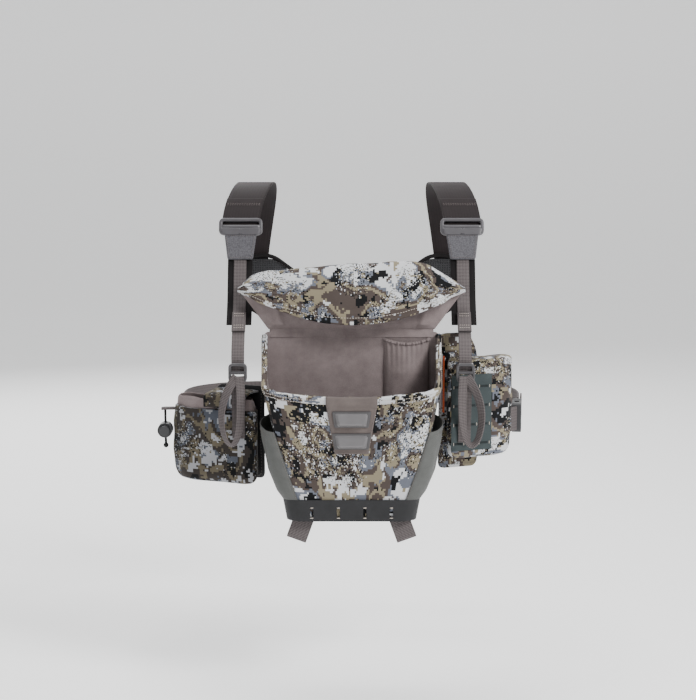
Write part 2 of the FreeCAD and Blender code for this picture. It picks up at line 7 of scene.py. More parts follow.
import sys

import logging
import math
from dataclasses import dataclass
from enum import Enum
from typing import Callable, Dict, List, Optional, Sequence, Tuple, Union

import bpy
import numpy as np
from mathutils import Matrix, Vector


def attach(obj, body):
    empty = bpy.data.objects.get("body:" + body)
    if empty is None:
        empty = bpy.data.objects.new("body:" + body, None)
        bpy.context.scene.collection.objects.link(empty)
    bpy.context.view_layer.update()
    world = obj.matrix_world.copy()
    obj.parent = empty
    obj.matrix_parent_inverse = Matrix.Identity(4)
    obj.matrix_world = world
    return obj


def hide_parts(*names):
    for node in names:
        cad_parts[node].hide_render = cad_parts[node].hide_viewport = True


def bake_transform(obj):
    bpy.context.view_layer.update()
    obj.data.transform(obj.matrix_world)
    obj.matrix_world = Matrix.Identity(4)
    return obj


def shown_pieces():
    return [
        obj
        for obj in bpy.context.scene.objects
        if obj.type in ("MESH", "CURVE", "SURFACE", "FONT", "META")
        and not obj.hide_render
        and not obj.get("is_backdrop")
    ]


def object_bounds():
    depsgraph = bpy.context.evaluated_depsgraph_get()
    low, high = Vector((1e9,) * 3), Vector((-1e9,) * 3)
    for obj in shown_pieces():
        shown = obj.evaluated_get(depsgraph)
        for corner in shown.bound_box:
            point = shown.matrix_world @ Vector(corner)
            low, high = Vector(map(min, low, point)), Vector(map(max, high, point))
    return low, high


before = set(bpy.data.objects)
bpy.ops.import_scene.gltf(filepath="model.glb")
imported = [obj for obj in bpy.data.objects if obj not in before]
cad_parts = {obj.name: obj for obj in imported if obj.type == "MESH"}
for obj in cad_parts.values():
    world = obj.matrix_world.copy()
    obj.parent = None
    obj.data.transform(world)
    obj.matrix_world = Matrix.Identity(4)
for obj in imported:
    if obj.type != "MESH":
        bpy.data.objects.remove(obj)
CAD_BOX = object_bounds()

LOG = logging.getLogger("harness_pack")
MM = 0.001
X_AXIS, Y_AXIS, Z_AXIS = np.eye(3)
Array = np.ndarray
Color = Tuple[float, float, float, float]
Pair = Tuple[float, float]
Piece = bpy.types.Object
Tree = bpy.types.NodeTree
Node = bpy.types.Node
Socket = bpy.types.NodeSocket
Input = Union[Socket, float, Color]


# ---- colour and nodes ----------------------------------------------------------------
def linear(code: str) -> Color:
    """Turn an sRGB hex colour into linear light.

    Args:
        code: six hex digits with a leading hash.

    Returns:
        Red, green, blue and an alpha of one.
    """
    raw = np.array([int(code[i : i + 2], 16) / 255 for i in (1, 3, 5)])
    low = raw / 12.92
    high = ((raw + 0.055) / 1.055) ** 2.4
    value = np.where(raw <= 0.04045, low, high)
    return (float(value[0]), float(value[1]), float(value[2]), 1.0)


def add(tree: Tree, kind: str, inputs: Optional[dict] = None, **settings) -> Node:
    """Add one shader node.

    Args:
        tree: the material's node tree.
        kind: the node's type name without its Shader Node prefix.
        inputs: socket name or number to a value, or to another node's output socket.
        settings: attributes of the node.

    Returns:
        The new node.
    """
    node = tree.nodes.new("ShaderNode" + kind)
    for name, value in settings.items():
        setattr(node, name, value)
    for key, value in (inputs or {}).items():
        socket = node.inputs[key]
        if isinstance(value, Socket):
            tree.links.new(value, socket)
        else:
            socket.default_value = value
    return node


def ramp(
    tree: Tree, value: Input, stops: Sequence[Tuple[float, Color]], hard: bool = False
) -> Socket:
    """Add a colour ramp and return its colour socket.

    Args:
        tree: the material's node tree.
        value: the socket that drives the ramp.
        stops: positions and colours, in order.
        hard: true for flat steps between the stops.

    Returns:
        The ramp's colour output.
    """
    node = add(tree, "ValToRGB", {"Fac": value})
    band = node.color_ramp
    band.interpolation = "CONSTANT" if hard else "LINEAR"
    while len(band.elements) < len(stops):
        band.elements.new(1.0)
    for element, (place, color) in zip(band.elements, stops):
        element.position = place
        element.color = color
    return node.outputs["Color"]


class Space(Enum):
    """Where a pattern reads its place from."""

    CLOTH = "UV"
    OBJECT = "Object"


@dataclass(frozen=True)
class Finish:
    """A material: its name, base colour and how it shines. Subclasses add the pattern."""

    name: str
    color: str
    roughness: float = 0.8
    sheen: float = 0.0
    metallic: float = 0.0
    space: Space = Space.CLOTH

    def start(self) -> Tuple[bpy.types.Material, Tree, Node, Socket]:
        """Make the material with its shader set.

        Returns:
            The material, its tree, its main shader and the place on the cloth.
        """
        material = bpy.data.materials.new(self.name)
        material.use_nodes = True
        tree = material.node_tree
        tree.nodes.clear()
        shader = add(
            tree, "BsdfPrincipled", {"Roughness": self.roughness, "Metallic": self.metallic}
        )
        shader.inputs["Sheen Weight"].default_value = self.sheen
        shader.inputs["Specular IOR Level"].default_value = (
            0.2 if self.space is Space.CLOTH else 0.5
        )
        shader.inputs["Sheen Roughness"].default_value = 0.5
        shader.inputs["Base Color"].default_value = linear(self.color)
        add(tree, "OutputMaterial", {"Surface": shader.outputs["BSDF"]})
        place = add(tree, "TexCoord").outputs[self.space.value]
        material.diffuse_color = linear(self.color)
        return material, tree, shader, place

    def material(self) -> bpy.types.Material:
        """Build the material once and hand out the same one after that."""
        known = bpy.data.materials.get(self.name)
        return known if known else self.build()

    def build(self) -> bpy.types.Material:
        """Fill in the pattern; each finish has its own."""
        raise NotImplementedError


def waves(tree: Tree, place: Socket, per_metre: float, axis: str, shape: str = "SIN") -> Socket:
    """Parallel ridges across one axis of the pattern space, as a 0 to 1 socket.

    The wave texture turns 20 radians over a unit at scale 1, so the scale is the ridges per metre
    times two pi over twenty.

    Args:
        tree: the material's node tree.
        place: socket that holds the place on the cloth.
        per_metre: how many waves to the metre.
        axis: "X" or "Y", the way they run.
        shape: "SIN", "SAW" or "TRI".

    Returns:
        The wave as a value between 0 and 1.
    """
    scale = per_metre * 2 * math.pi / 20
    node = add(
        tree, "TexWave", {"Vector": place, "Scale": scale}, bands_direction=axis, wave_profile=shape
    )
    return node.outputs["Fac"]


def noise(
    tree: Tree, place: Socket, per_metre: float, detail: float = 2.0, rough: float = 0.5
) -> Socket:
    """Smooth noise with a given number of features per metre, as a 0 to 1 socket."""
    inputs = {"Vector": place, "Scale": per_metre, "Detail": detail, "Roughness": rough}
    return add(tree, "TexNoise", inputs).outputs["Fac"]


def math_of(tree: Tree, kind: str, a: Input, b: Input = 0.0) -> Socket:
    """One arithmetic step on two sockets or numbers."""
    return add(tree, "Math", {0: a, 1: b}, operation=kind).outputs[0]


def mix(tree: Tree, share: Input, a: Input, b: Input, kind: str = "MIX") -> Socket:
    """Blend two colours; share, a and b are sockets or values.

    Args:
        tree: the material's node tree.
        share: how much of b shows.
        a: first colour or socket.
        b: second colour or socket.
        kind: how the two are blended.

    Returns:
        The mixed colour.
    """
    node = add(tree, "Mix", data_type="RGBA", blend_type=kind)
    for socket, value in zip((node.inputs[0], node.inputs[6], node.inputs[7]), (share, a, b)):
        if isinstance(value, Socket):
            tree.links.new(value, socket)
        else:
            socket.default_value = value
    return node.outputs[2]


def emboss(tree: Tree, shader: Node, height: Socket, depth: float, strength: float = 1.0) -> None:
    """Bump a shader by a height socket; depth is the ridge's height in metres."""
    node = add(tree, "Bump", {"Height": height, "Distance": depth, "Strength": strength})
    tree.links.new(node.outputs["Normal"], shader.inputs["Normal"])


@dataclass(frozen=True)
class BlockCamo(Finish):
    """Printed brushed polyester in blocks of colour: a dull cloth whose print is squares of thread
    size.

    The print is two sizes of blob, both snapped to square cells, so that every patch has stepped
    edges. The cell is 1.9 mm, and the fine speckle is half of that.
    """

    cell_mm: float = 1.9
    light: str = "#cbccce"
    pale: str = "#656973"
    tan: str = "#867d68"
    brown: str = "#4b423e"
    dark: str = "#101113"
    shift: Tuple[float, float, float] = (0.0, 0.0, 0.0)

    def cells(self, tree: Tree, place: Socket, size: float) -> Socket:
        """Snap the pattern's place to the middle of square cells of a size in metres.

        Args:
            tree: the material's node tree.
            place: socket that holds the place on the cloth.
            size: width of a cell in metres.

        Returns:
            The snapped place.
        """
        step = (size, size, size)
        node = add(tree, "VectorMath", {0: place, 1: step}, operation="SNAP")
        return node.outputs[0]

    def moved(self, tree: Tree, place: Socket, by: Tuple[float, float, float]) -> Socket:
        """The same place shifted, so that two patterns don't line up."""
        return add(tree, "VectorMath", {0: place, 1: by}, operation="ADD").outputs[0]

    def step(self, tree: Tree, value: Socket, level: float) -> Socket:
        """One above a level, nothing below it."""
        return math_of(tree, "GREATER_THAN", value, level)

    def build(self) -> bpy.types.Material:
        """Stack the print from its broad zones to the speckle, then the knit's fine ribs.

        Returns:
            The material.
        """
        material, tree, shader, place = self.start()
        place = self.moved(tree, place, self.shift)
        cell = self.cell_mm * MM
        coarse = self.cells(tree, place, cell)
        fine = self.cells(tree, place, cell * 0.55)
        zone = noise(tree, coarse, 15, 2.0, 0.75)
        stops = [(0.0, self.dark), (0.385, self.brown), (0.455, self.tan), (0.495, self.brown)]
        stops += [(0.535, self.pale), (0.565, self.light), (0.66, self.brown)]
        base = ramp(tree, zone, [(p, linear(c)) for p, c in stops], hard=True)
        patch = noise(tree, self.moved(tree, coarse, (3.1, 1.7, 0.4)), 36, 3.0, 0.72)
        base = mix(tree, self.step(tree, patch, 0.585), base, linear(self.light))
        base = mix(
            tree, self.step(tree, math_of(tree, "SUBTRACT", 1.0, patch), 0.59), base,
            linear(self.dark)
        )
        other = noise(tree, self.moved(tree, coarse, (5.7, 4.1, 2.4)), 48, 3.0, 0.75)
        base = mix(tree, self.step(tree, other, 0.61), base, linear(self.tan))
        base = mix(
            tree, self.step(tree, math_of(tree, "SUBTRACT", 1.0, other), 0.62), base,
            linear(self.pale)
        )
        grain = add(tree, "TexWhiteNoise", {"Vector": fine}, noise_dimensions="3D").outputs["Value"]
        where = noise(tree, self.moved(tree, place, (7.7, 2.2, 5.1)), 24, 2.0)
        dense = ramp(tree, where, [(0.46, (0, 0, 0, 1)), (0.62, (0.36, 0.36, 0.36, 1))])
        dots = math_of(tree, "LESS_THAN", grain, dense)
        pick = add(
            tree, "TexWhiteNoise", {"Vector": self.moved(tree, fine, (1.3, 0.7, 0.2))},
            noise_dimensions="3D"
        ).outputs["Value"]
        steps = [(0.0, linear(self.dark)), (0.58, linear(self.tan)), (0.80, linear(self.light))]
        base = mix(tree, dots, base, ramp(tree, pick, steps, hard=True))
        fade = noise(tree, place, 14, 4.0)
        tone_shift = ramp(tree, fade, [(0.3, (0.84, 0.84, 0.84, 1)), (0.7, (1, 1, 1, 1))])
        base = mix(tree, 1.0, base, tone_shift, "MULTIPLY")
        tree.links.new(base, shader.inputs["Base Color"])
        knit = math_of(tree, "ADD", waves(tree, place, 900, "X"), waves(tree, place, 900, "Y"))
        emboss(tree, shader, math_of(tree, "ADD", knit, noise(tree, place, 700, 3.0)), 0.00012, 0.6)
        return material


@dataclass(frozen=True)
class Ribbed(Finish):
    """Nylon webbing: hard yarn in cross ribs, a little shiny on the crowns, with painted shade
    between them."""

    rib_mm: float = 1.5
    depth_mm: float = 0.16
    # the troughs' colour: painted shade between the ribs, and also the darker yarn
    dark: str = "#3a3534"
    lines_mm: float = 3.0

    def build(self) -> bpy.types.Material:
        """Cross ribs along the length, faint lengthwise lines, uneven yarn colour, and painted
        shade between the ribs.

        Returns:
            The material.
        """
        material, tree, shader, place = self.start()
        ribs = waves(tree, place, 1000 / self.rib_mm, "Y")
        lines = waves(tree, place, 1000 / self.lines_mm, "X")
        body = math_of(tree, "ADD", ribs, math_of(tree, "MULTIPLY", lines, 0.25))
        yarn = noise(tree, place, 900, 3.0, 0.6)
        cloud = noise(tree, place, 45, 3.0, 0.6)
        tone = math_of(
            tree, "ADD", math_of(tree, "MULTIPLY", body, 0.5), math_of(tree, "MULTIPLY", yarn, 0.45)
        )
        tone = math_of(tree, "ADD", tone, math_of(tree, "MULTIPLY", cloud, 0.25))
        # the rib term darkens the troughs as painted shade; the yarn and cloud terms are uneven
        # yarn colour
        base = ramp(tree, tone, [(0.25, linear(self.dark)), (0.85, linear(self.color))])
        tree.links.new(base, shader.inputs["Base Color"])
        emboss(
            tree, shader, math_of(tree, "ADD", body, math_of(tree, "MULTIPLY", yarn, 0.3)),
            self.depth_mm * MM, 0.9
        )
        return material


@dataclass(frozen=True)
class Woven(Finish):
    """Plain woven or brushed cloth: crossed threads, cloudy nap and a soft sheen at its edges."""

    thread_mm: float = 0.55
    nap: float = 0.35
    dark: str = "#5a504f"
    depth_mm: float = 0.05

    def build(self) -> bpy.types.Material:
        """Threads both ways with a nap of noise over them.

        Returns:
            The material.
        """
        material, tree, shader, place = self.start()
        weave = math_of(
            tree, "MULTIPLY", waves(tree, place, 1000 / self.thread_mm, "X"),
            waves(tree, place, 1000 / self.thread_mm, "Y")
        )
        cloud = noise(tree, place, 60, 5.0, 0.62)
        fuzz = noise(tree, place, 1400, 2.0, 0.6)
        tone = math_of(
            tree, "ADD", math_of(tree, "MULTIPLY", cloud, 0.6),
            math_of(tree, "MULTIPLY", fuzz, self.nap)
        )
        tone = math_of(tree, "ADD", tone, math_of(tree, "MULTIPLY", weave, 0.12))
        base = ramp(tree, tone, [(0.28, linear(self.dark)), (0.72, linear(self.color))])
        tree.links.new(base, shader.inputs["Base Color"])
        height = math_of(tree, "ADD", weave, math_of(tree, "MULTIPLY", fuzz, 0.8))
        emboss(tree, shader, height, self.depth_mm * MM, 0.7)
        return material


@dataclass(frozen=True)
class SpacerMesh(Finish):
    """Knitted spacer mesh: rows of small hexagon holes in a springy black knit."""

    hole_mm: float = 2.6

    def build(self) -> bpy.types.Material:
        """Round cells from a cell pattern, with painted shade in the holes and raised between them.

        Returns:
            The material.
        """
        material, tree, shader, place = self.start()
        inputs = {"Vector": place, "Scale": 1000 / self.hole_mm, "Randomness": 0.15}
        cell = add(tree, "TexVoronoi", inputs, feature="F1").outputs["Distance"]
        # near black in the holes: painted shade
        base = ramp(tree, cell, [(0.18, linear("#060606")), (0.42, linear(self.color))])
        fuzz = noise(tree, place, 1500, 2.0)
        base = mix(tree, math_of(tree, "MULTIPLY", fuzz, 0.5), base, linear("#4a4a4c"))
        tree.links.new(base, shader.inputs["Base Color"])
        emboss(
            tree, shader, ramp(tree, cell, [(0.15, (0, 0, 0, 1)), (0.45, (1, 1, 1, 1))]), 0.0006,
            0.9
        )
        return material


@dataclass(frozen=True)
class Moulded(Finish):
    """Moulded acetal or nylon: satin, a faint sparked texture, cloudy paler handling marks, and a
    painted highlight that makes its convex edges paler."""

    grain_mm: float = 0.5
    depth_mm: float = 0.02
    # colour of the cloudy handling marks and of the painted highlight on convex edges
    handled_and_highlight: str = "#9a9a9c"

    def build(self) -> bpy.types.Material:
        """Fine spark texture, cloudy handling marks, a painted highlight on convex edges, and
        roughness that follows the marks.

        Returns:
            The material.
        """
        material, tree, shader, place = self.start()
        grain = noise(tree, place, 1000 / self.grain_mm, 4.0, 0.6)
        cloud = noise(tree, place, 110, 4.0, 0.6)
        # paler on convex edges, read from pointiness: painted highlight
        edge = add(tree, "NewGeometry").outputs["Pointiness"]
        tone_shift = ramp(tree, edge, [(0.52, (0, 0, 0, 1)), (0.60, (0.55, 0.55, 0.55, 1))])
        base = mix(
            tree, math_of(tree, "MULTIPLY", cloud, 0.35), linear(self.color), linear(self.handled_and_highlight)
        )
        base = mix(tree, tone_shift, base, linear(self.handled_and_highlight))
        tree.links.new(base, shader.inputs["Base Color"])
        rough = math_of(tree, "ADD", math_of(tree, "MULTIPLY", cloud, 0.18), self.roughness - 0.09)
        tree.links.new(rough, shader.inputs["Roughness"])
        emboss(tree, shader, grain, self.depth_mm * MM, 0.6)
        return material


@dataclass(frozen=True)
class Pebbled(Finish):
    """Embossed vinyl: small round pebbles, with painted shade in the creases between them."""

    pebble_mm: float = 1.1

    def build(self) -> bpy.types.Material:
        """Cell pattern raised into pebbles, with a cloud of wear.

        Returns:
            The material.
        """
        material, tree, shader, place = self.start()
        inputs = {"Vector": place, "Scale": 1000 / self.pebble_mm, "Randomness": 0.9}
        cell = add(tree, "TexVoronoi", inputs, feature="SMOOTH_F1").outputs["Distance"]
        cloud = noise(tree, place, 90, 4.0, 0.6)
        # darker towards the creases between pebbles: painted shade
        base = ramp(tree, cell, [(0.1, linear(self.color)), (0.75, linear("#37363a"))])
        base = mix(tree, math_of(tree, "MULTIPLY", cloud, 0.3), base, linear("#6a696e"))
        tree.links.new(base, shader.inputs["Base Color"])
        emboss(tree, shader, math_of(tree, "SUBTRACT", 1.0, cell), 0.00025, 0.8)
        return material


# the pack's finishes, each named for what the real one is; a few darker copies carry painted shade
CAMO = BlockCamo("printed_brushed_polyester", "#807a74", roughness=0.92, sheen=0.03)
# the camo print in darker colours for the left pouch and its flap: painted shade
CAMO_PAINTED_SHADE = BlockCamo(
    "printed_brushed_polyester_dark", "#5f5b58", roughness=0.92, sheen=0.03, light="#97989c",
    pale="#4d515a", tan="#5c5547", brown="#322d2a", dark="#0b0c0d", shift=(0.31, 0.17, 0.0)
)
LINING = Woven(
    "brushed_tricot_lining", "#877b7a", roughness=0.95, sheen=0.08, dark="#5c5251", nap=0.5
)
STRETCH = Woven(
    "stretch_woven_nylon", "#636462", roughness=0.7, sheen=0.03, thread_mm=0.4, nap=0.15,
    dark="#4f504e"
)
PLACKET = Woven(
    "stretch_knit_placket", "#6d6460", roughness=0.9, sheen=0.04, thread_mm=0.6, nap=0.3,
    dark="#58504e"
)
LAMINATE = Woven(
    "laser_cut_laminate", "#313133", roughness=0.6, thread_mm=0.45, nap=0.2, dark="#242425",
    depth_mm=0.03
)
LAMINATE_GREEN = Woven(
    "laser_cut_laminate_green", "#434b4c", roughness=0.6, thread_mm=0.45, nap=0.2, dark="#31393a"
)
# the laminate made darker behind the slotted panel: painted shade seen through its slits
LAMINATE_BEHIND_PAINTED_SHADE = Woven(
    "laser_cut_laminate_behind", "#2c3233", roughness=0.7, thread_mm=0.45, nap=0.2, dark="#1e2324"
)
WEBBING = Ribbed("nylon_webbing", "#645d5d", roughness=0.75, sheen=0.02, dark="#2e2a2a")
STRAP = Ribbed(
    "nylon_strap_webbing", "#272021", roughness=0.75, sheen=0.02, rib_mm=1.3, dark="#0e0b0c",
    depth_mm=0.1
)
ELASTIC = Ribbed(
    "knitted_elastic", "#191617", roughness=0.85, sheen=0.02, rib_mm=1.1, dark="#080707",
    lines_mm=1.6
)
MESH = SpacerMesh("polyester_spacer_mesh", "#2b2b2d", roughness=0.9)
ACETAL = Moulded("moulded_acetal", "#403e41", roughness=0.4, space=Space.OBJECT, handled_and_highlight="#5f5d61")
ACETAL_DARK = Moulded(
    "moulded_acetal_dark", "#3b393b", roughness=0.4, space=Space.OBJECT, handled_and_highlight="#5d5b5e"
)
CLEAT = Moulded("moulded_tpu", "#605e5f", roughness=0.45, space=Space.OBJECT, handled_and_highlight="#7d7b7c")
# darker flange colour round the cleats: painted shade
CLEAT_PAINTED_SHADE = Moulded(
    "moulded_tpu_flange", "#3d3b3c", roughness=0.5, space=Space.OBJECT, handled_and_highlight="#565455"
)
BLACK = Moulded(
    "moulded_nylon_black", "#161617", roughness=0.45, space=Space.OBJECT, handled_and_highlight="#3c3c3e"
)
ORANGE = Moulded(
    "moulded_orange_tpu", "#d2552b", roughness=0.5, space=Space.OBJECT, handled_and_highlight="#e87a4d"
)
SHEET = Moulded("polyethylene_sheet", "#222326", roughness=0.5, space=Space.OBJECT)
VINYL = Pebbled("embossed_vinyl", "#57565a", roughness=0.55, space=Space.CLOTH)
CORD = Ribbed("braided_shock_cord", "#2a2a2b", roughness=0.7, rib_mm=1.4, dark="#0d0d0d")
THREAD = Moulded(
    "bonded_nylon_thread", "#5c5452", roughness=0.6, space=Space.OBJECT, handled_and_highlight="#857b78"
)
THREAD_DARK = Moulded(
    "bonded_nylon_thread_dark", "#2a2829", roughness=0.6, space=Space.OBJECT, handled_and_highlight="#454243"
)
THREAD_PALE = Moulded(
    "bonded_nylon_thread_pale", "#b7ada2", roughness=0.6, space=Space.OBJECT, handled_and_highlight="#d6cec5"
)
STEEL = Moulded(
    "spring_steel", "#b9b9bb", roughness=0.25, metallic=1.0, space=Space.OBJECT, handled_and_highlight="#d6d6d8"
)


# ---- surfaces ------------------------------------------------------------------------
def unit(v: Array) -> Array:
    """Scale vectors to length one, along the last axis."""
    return v / np.maximum(np.linalg.norm(v, axis=-1, keepdims=True), 1e-12)


def along(points: Array) -> Array:
    """Distance travelled along a line of points, from zero."""
    steps = np.linalg.norm(np.diff(points, axis=0), axis=1)
    return np.concatenate([[0.0], np.cumsum(steps)])


def resample(points: Array, count: int) -> Array:
    """The same line with a number of evenly spaced points.

    Args:
        points: points of the line, one to a row.
        count: number of points that come back.

    Returns:
        The points at even steps.
    """
    reach = along(points)
    places = np.linspace(0, reach[-1], count)
    return np.stack(
        [np.interp(places, reach, points[:, k]) for k in range(points.shape[1])], axis=1
    )


def curve_through(points: Sequence[Sequence[float]], count: int) -> Array:
    """A smooth line near a list of corners: a quadratic B-spline on them, evenly resampled.

    Each span is a blend of three corners with weights (1-t)^2/2, 1/2+t(1-t) and t^2/2, and the end
    corners are met by reflecting their neighbours in them.

    Args:
        points: the line's corners.
        count: number of points that come back.

    Returns:
        The points on the curve.
    """
    p = np.asarray(points, dtype=float)
    p = np.vstack([2 * p[0] - p[1], p, 2 * p[-1] - p[-2]])
    t = np.linspace(0, 1, 24, endpoint=False)[:, None]
    spans = [
        p[i] * (1 - t) ** 2 / 2 + p[i + 1] * (0.5 + t * (1 - t)) + p[i + 2] * t**2 / 2
        for i in range(len(p) - 2)
    ]
    line = np.vstack(spans + [(p[-2] + p[-1])[None] / 2])
    start = int(np.argmin(np.linalg.norm(line - p[1], axis=1)))
    end = len(line) - 1 - int(np.argmin(np.linalg.norm(line[::-1] - p[-2], axis=1)))
    return resample(line[start : end + 1], count)


def normals_of(grid: Array) -> Array:
    """Unit normals of a grid of points, from the cross product of its two directions.

    Args:
        grid: rows and columns of points.

    Returns:
        One unit normal for each point.
    """
    across = np.gradient(grid, axis=1)
    up = np.gradient(grid, axis=0)
    return unit(np.cross(across, up))


def make_object(name: str, verts: Array, faces: List, uv: Optional[Array] = None) -> Piece:
    """Put a mesh in the scene.

    Args:
        name: the piece's name.
        verts: points, one to a row.
        faces: lists of point numbers.
        uv: one pair for each corner of each face, in the order of the faces.

    Returns:
        The new object, shaded smooth.
    """
    mesh = bpy.data.meshes.new(name)
    mesh.from_pydata(np.asarray(verts).tolist(), [], faces)
    mesh.polygons.foreach_set("use_smooth", np.ones(len(mesh.polygons), dtype=bool))
    if uv is not None:
        layer = mesh.uv_layers.new(name="cloth")
        layer.data.foreach_set("uv", np.asarray(uv, dtype=np.float32).ravel())
    mesh.update()
    obj = bpy.data.objects.new(name, mesh)
    bpy.context.scene.collection.objects.link(obj)
    return obj


def surface(
    name: str, grid: Array, around: bool = False, over: bool = False, caps: bool = False,
    uv_origin: Pair = (0.0, 0.0)
) -> Piece:
    """A mesh from a grid of points, rows by columns.

    Its cloth coordinates are the distances travelled along the middle row and the middle column.

    Args:
        name: the piece's name.
        grid: rows by columns by three.
        around: true joins the last column to the first.
        over: true joins the last row to the first.
        caps: true closes both open ends of an "over" grid, or both ends of an "around" grid, with a
            face.
        uv_origin: added to the cloth coordinates.

    Returns:
        The new object.
    """
    rows, cols = grid.shape[:2]
    ids = np.arange(rows * cols).reshape(rows, cols)
    r_next = rows if over else rows - 1
    c_next = cols if around else cols - 1
    i, j = np.meshgrid(np.arange(r_next), np.arange(c_next), indexing="ij")
    i2, j2 = (i + 1) % rows, (j + 1) % cols
    quads = np.stack([ids[i, j], ids[i, j2], ids[i2, j2], ids[i2, j]], axis=-1).reshape(-1, 4)
    mid_row = grid[rows // 2]
    mid_col = grid[:, cols // 2]
    u = along(np.vstack([mid_row, mid_row[:1]])) + uv_origin[0]
    v = along(np.vstack([mid_col, mid_col[:1]])) + uv_origin[1]
    corner_u = np.stack([u[j], u[j + 1], u[j + 1], u[j]], axis=-1)
    corner_v = np.stack([v[i], v[i], v[i + 1], v[i + 1]], axis=-1)
    uv = np.stack([corner_u, corner_v], axis=-1).reshape(-1, 2)
    faces = quads.tolist()
    if caps:
        ends = [ids[:, 0], ids[::-1, -1]] if over else [ids[0, ::-1], ids[-1]]
        for end in ends:
            faces.append(end.tolist())
            flat = grid.reshape(-1, 3)[end]
            spread = np.stack([along(flat), np.zeros(len(end))], axis=-1)
            uv = np.vstack([uv, spread])
    return make_object(name, grid.reshape(-1, 3), faces, uv)


def dress(
    obj: Piece, *finishes: Finish, body: Optional[str] = "root", slot: Optional[str] = None,
    replaces: Sequence[str] = ()
) -> Piece:
    """Give a piece its finishes, its body and the CAD nodes it stands for.

    Args:
        obj: the piece.
        finishes: its materials, in slot order.
        body: the CAD body it moves with; None leaves the piece unattached.
        slot: not used.
        replaces: CAD nodes that it stands for.

    Returns:
        The same piece.
    """
    for finish in finishes:
        obj.data.materials.append(finish.material())
    if body:
        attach(obj, body)
    if replaces:
        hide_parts(*replaces)
    return obj


def modify(obj: Piece, kind: str, **settings) -> bpy.types.Modifier:
    """Add a modifier with its settings; subdivision has the same level in both places.

    Args:
        obj: the object.
        kind: the modifier's type.

    Returns:
        The new modifier.
    """
    modifier = obj.modifiers.new(kind.lower(), kind)
    for key, value in settings.items():
        setattr(modifier, key, value)
    if kind == "SUBSURF":
        modifier.render_levels = modifier.levels
    return modifier


def rounded_bar(width: float, thickness: float, corner: float, steps: int = 4) -> Array:
    """Closed outline of a bar's section: a rectangle with quarter-circle corners.

    Args:
        width: width in metres.
        thickness: thickness in metres.
        corner: radius of the corners.
        steps: points to a corner.

    Returns:
        Points around the section, across and through, starting at the middle of one flat side.
    """
    turn = np.linspace(0, math.pi / 2, steps)
    hw, ht = width / 2 - corner, thickness / 2 - corner
    quads = []
    for k, (sx, sy) in enumerate(((1, 1), (-1, 1), (-1, -1), (1, -1))):
        a = turn + k * math.pi / 2
        quads.append(np.stack([sx * hw + corner * np.cos(a), sy * ht + corner * np.sin(a)], axis=1))
    flat = np.linspace(0, 1, 8)[1:-1, None]
    top = quads[0][-1] * (1 - flat) + quads[1][0] * flat
    low = quads[2][-1] * (1 - flat) + quads[3][0] * flat
    return np.vstack([quads[0], top, quads[1], quads[2], low, quads[3]])


def ribbon(
    name: str, path: Array, across: Array, width: float, thickness: float, corner: float = 0.0,
    closed: bool = False, widths: Optional[Array] = None, swell: Optional[Array] = None
) -> Piece:
    """A flat band carried along a path: its section is a rounded bar, its width lies along
    "across".

    Args:
        name: the piece's name.
        path: the band's centre line.
        across: the direction of its width at each point, or one for all.
        width: the band's width.
        thickness: the band's thickness.
        corner: the section's corner radius, by default just under half of the thickness.
        closed: true for a band whose ends meet.
        widths: a factor on the width at each point.
        swell: a factor on the thickness at each point.

    Returns:
        The new object.
    """
    path = np.asarray(path, dtype=float)
    across = np.broadcast_to(unit(np.asarray(across, dtype=float)), path.shape)
    run = np.roll(path, -1, 0) - np.roll(path, 1, 0) if closed else np.gradient(path, axis=0)
    through = unit(np.cross(run, across))
    section = rounded_bar(width, thickness, corner or thickness * 0.45)
    w = np.ones(len(path)) if widths is None else widths
    s = np.ones(len(path)) if swell is None else swell
    a = section[None, :, 0] * w[:, None]
    b = section[None, :, 1] * s[:, None]
    grid = path[:, None] + a[..., None] * across[:, None] + b[..., None] * through[:, None]
    obj = surface(name, grid[:, ::-1], around=True, over=closed, caps=not closed)
    flat_u = np.append(section[::-1, 0], section[-1, 0])
    mesh = obj.data
    cols = grid.shape[1]
    rows = len(path) if closed else len(path) - 1
    reach = along(np.vstack([path, path[:1]]))
    i, j = np.meshgrid(np.arange(rows), np.arange(cols), indexing="ij")
    u = np.stack([flat_u[j], flat_u[j + 1], flat_u[j + 1], flat_u[j]], axis=-1)
    v = np.stack([reach[i], reach[i], reach[i + 1], reach[i + 1]], axis=-1)
    uv = np.zeros((len(mesh.loops), 2), dtype=np.float32)
    uv[: rows * cols * 4] = np.stack([u, v], axis=-1).reshape(-1, 2)
    mesh.uv_layers[0].data.foreach_set("uv", uv.ravel())
    return obj


def tube(name: str, path: Array, radius: float, around: int = 10, closed: bool = False) -> Piece:
    """A round bar along a path, with frames carried from one point to the next and flat ends.

    Args:
        name: name of the piece.
        path: points of the line, one to a row.
        radius: radius in metres.
        around: points round the tube.
        closed: whether the ends meet.

    Returns:
        The piece.
    """
    path = np.asarray(path, dtype=float)
    run = unit(np.roll(path, -1, 0) - np.roll(path, 1, 0) if closed else np.gradient(path, axis=0))
    guide = Z_AXIS if abs(run[:, 2]).mean() < 0.8 else X_AXIS
    side = unit(np.cross(run, guide))
    up = np.cross(side, run)
    turn = np.linspace(0, 2 * math.pi, around, endpoint=False)
    ring = np.cos(turn)[None, :, None] * side[:, None] + np.sin(turn)[None, :, None] * up[:, None]
    grid = path[:, None] + radius * ring
    return surface(name, grid, around=True, over=closed, caps=not closed)


def joined(name: str, pieces: Sequence[Piece]) -> Piece:
    """Join several meshes into one piece under a new name.

    Args:
        name: name of the piece.
        pieces: the pieces that become one.

    Returns:
        The piece that holds them all.
    """
    if len(pieces) > 1:
        with bpy.context.temp_override(
            active_object=pieces[0], selected_editable_objects=list(pieces)
        ):
            bpy.ops.object.join()
    pieces[0].name = name
    pieces[0].data.name = name
    return pieces[0]


